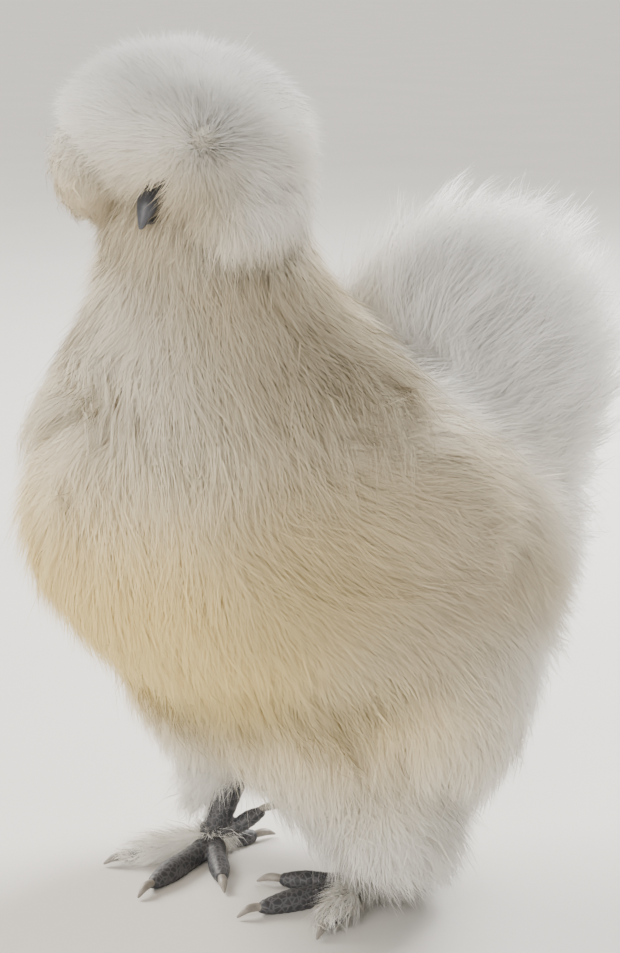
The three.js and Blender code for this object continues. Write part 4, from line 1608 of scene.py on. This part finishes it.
@dataclass(frozen=True)
class Studio:
    """Floor, lights and camera."""

    azimuth: float = 52.0
    elevation: float = 14.0
    distance: float = 800.0
    target: tuple[float, float, float] = (6.5, 0.0, 158.0)
    focal_pixels: float = 2168.0
    frame_pixels: float = 953.0
    sensor: float = 36.0
    sight: float = 200.0
    floor_half: float = 60.0
    sun_strength: float = 5.0
    fill_watts: float = 30.0
    rim_watts: float = 70.0
    room_strength: float = 0.45
    warm: tuple[float, float, float] = (1.0, 0.95, 0.87)

    def directions(self) -> tuple[Array, Array, Array]:
        """The camera's directions, from its azimuth and elevation.

        Returns:
            Unit vectors towards the camera, to the right of its picture and up in it.
        """
        a, e = np.radians([self.azimuth, self.elevation])
        back = np.array([np.sin(a) * np.cos(e), -np.cos(a) * np.cos(e), np.sin(e)])
        right = np.array([np.cos(a), np.sin(a), 0.0])
        return back, right, np.cross(back, right)

    def camera(self, placement: Placement) -> None:
        """The camera at the picture's viewing angle.

        Args:
            placement: where the figure stands.
        """
        data = bpy.data.cameras.new("camera")
        data.sensor_width = self.sensor
        data.lens = self.focal_pixels * self.sensor / self.frame_pixels
        data.clip_end = self.sight
        made = bpy.data.objects.new("camera", data)
        back, right, up = self.directions()
        at = placement.metres(np.array(self.target) + back * self.distance)
        made.matrix_world = Matrix.Translation(Vector(at)) @ Matrix(np.stack([right, up, back], 1).tolist()).to_4x4()
        bpy.context.scene.collection.objects.link(made)
        bpy.context.scene.camera = made

    def lamp(
        self, name: str, way: Array, distance: float, size: float, power: float, colour: tuple[float, float, float]
    ) -> None:
        """A square area light that looks at the bird.

        Args:
            name: its name.
            way: where it stands, seen from the bird.
            distance: how far off, in metres.
            size: its side, in metres.
            power: its power in watts.
            colour: its colour.
        """
        data = bpy.data.lights.new(name, "AREA")
        data.energy, data.size, data.color = power, size, colour
        made = bpy.data.objects.new(name, data)
        way = Vector(unit(way))
        made.location = Vector((0, 0, 0.16)) + way * distance
        made.rotation_euler = way.to_track_quat("Z", "Y").to_euler()
        bpy.context.scene.collection.objects.link(made)

    def sun(self, name: str, way: Array, power: float, colour: tuple[float, float, float]) -> None:
        """A soft even light from one direction.

        Args:
            name: its name.
            way: where it comes from.
            power: its strength in watts per square metre.
            colour: its colour.
        """
        data = bpy.data.lights.new(name, "SUN")
        data.energy, data.angle, data.color = power, 0.5, colour
        made = bpy.data.objects.new(name, data)
        made.rotation_euler = Vector(way).to_track_quat("Z", "Y").to_euler()
        bpy.context.scene.collection.objects.link(made)

    def build(self, placement: Placement, floor_finish: bpy.types.Material) -> None:
        """The floor, the lights and the camera.

        Args:
            placement: where the figure stands.
            floor_finish: the floor's material.
        """
        data = bpy.data.meshes.new("floor")
        far = self.floor_half
        data.from_pydata([(-far, -far, 0), (far, -far, 0), (far, far, 0), (-far, far, 0)], [], [(0, 1, 2, 3)])
        floor = bpy.data.objects.new("floor", data)
        data.materials.append(floor_finish)
        bpy.context.scene.collection.objects.link(floor)
        back, right, up = self.directions()
        self.sun("key", -right * 0.7 + up * 0.9 - back * 0.45, self.sun_strength, self.warm)
        self.lamp("fill", -right * 0.5 + up * 0.1 + back * 0.9, 1.8, 1.4, self.fill_watts, self.warm)
        self.lamp("rim", right * 0.6 + up * 0.9 - back * 0.5, 1.6, 0.7, self.rim_watts, (1.0, 0.97, 0.93))
        world = bpy.data.worlds.new("room")
        world.use_nodes = True
        world.node_tree.nodes["Background"].inputs["Color"].default_value = (0.96, 0.95, 0.93, 1.0)
        world.node_tree.nodes["Background"].inputs["Strength"].default_value = self.room_strength
        bpy.context.scene.world = world
        self.camera(placement)


def patches(names: list[str]) -> dict[str, Patch]:
    """A rectangle of the unwrap for each coat, in rows of four.

    Args:
        names: the coats' names.

    Returns:
        Their patches by name.
    """
    rows = int(np.ceil(len(names) / 4))
    return {
        name: Patch(((index % 4) / 4, (index // 4) / rows), (1 / 4, 1 / rows)) for index, name in enumerate(names)
    }


def main() -> None:
    """Builds the figure's pieces in order, then the studio."""
    logging.basicConfig(level=logging.INFO, format="%(message)s")
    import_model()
    placement = Placement.found()
    maker = Maker(placement)
    down = PlumageFinish().material()
    bare = ScalyFinish("slate_skin", (0.10, 0.10, 0.11), (0.035, 0.036, 0.042), 0.55, bump=0.5, depth=0.0004).material()
    horn = Finish("slate_horn", (0.075, 0.08, 0.095), (0.04, 0.042, 0.05), 0.38, 300.0, 0.15).material()
    nail = Finish("pale_horn", (0.36, 0.33, 0.29), (0.16, 0.145, 0.13), 0.42, 220.0, 0.15).material()
    wart = Finish("mulberry_comb", (0.11, 0.028, 0.045), (0.04, 0.012, 0.022), 0.5, 900.0, 0.8, 0.0006).material()
    gloss = Finish("dark_eye", (0.02, 0.012, 0.008), (0.008, 0.005, 0.004), 0.05, 60.0, 0.0, coat=1.0).material()
    right_boot = {
        "boot_path": ((-38, 4, 54), (-43, -9, 31), (-48, -19, 12)),
        "boot_wide": (13, 14, 12),
        "boot_high": (14, 14, 12),
    }
    feet = [Foot(Side.LEFT, (33.7, 5), -10), Foot(Side.RIGHT, (-33.7, -17), 20, **right_boot)]
    head = Head()
    plumage = Plumage()
    forms = plumage.forms()
    coats = plumage.coats(feet)
    depths = {coat.name: coat.depth for coat in coats}
    Skin().build(maker, plumage, depths, head, feet, down, bare)
    head.build(maker, horn, wart, gloss)
    for foot in feet:
        foot.build_claws(maker, nail)
    beak_room = head.beak_room()
    unwrap = patches([coat.name for coat in coats])
    for coat in coats:
        for piece in coat.build(maker, forms, beak_room, unwrap[coat.name]):
            maker.settle(piece, [down], [])
    floor_finish = Finish("pale_floor", (0.72, 0.70, 0.67), (0.68, 0.665, 0.64), 0.9, 6.0, 0.0).material()
    Studio().build(placement, floor_finish)


if __name__ == "__main__":
    main()
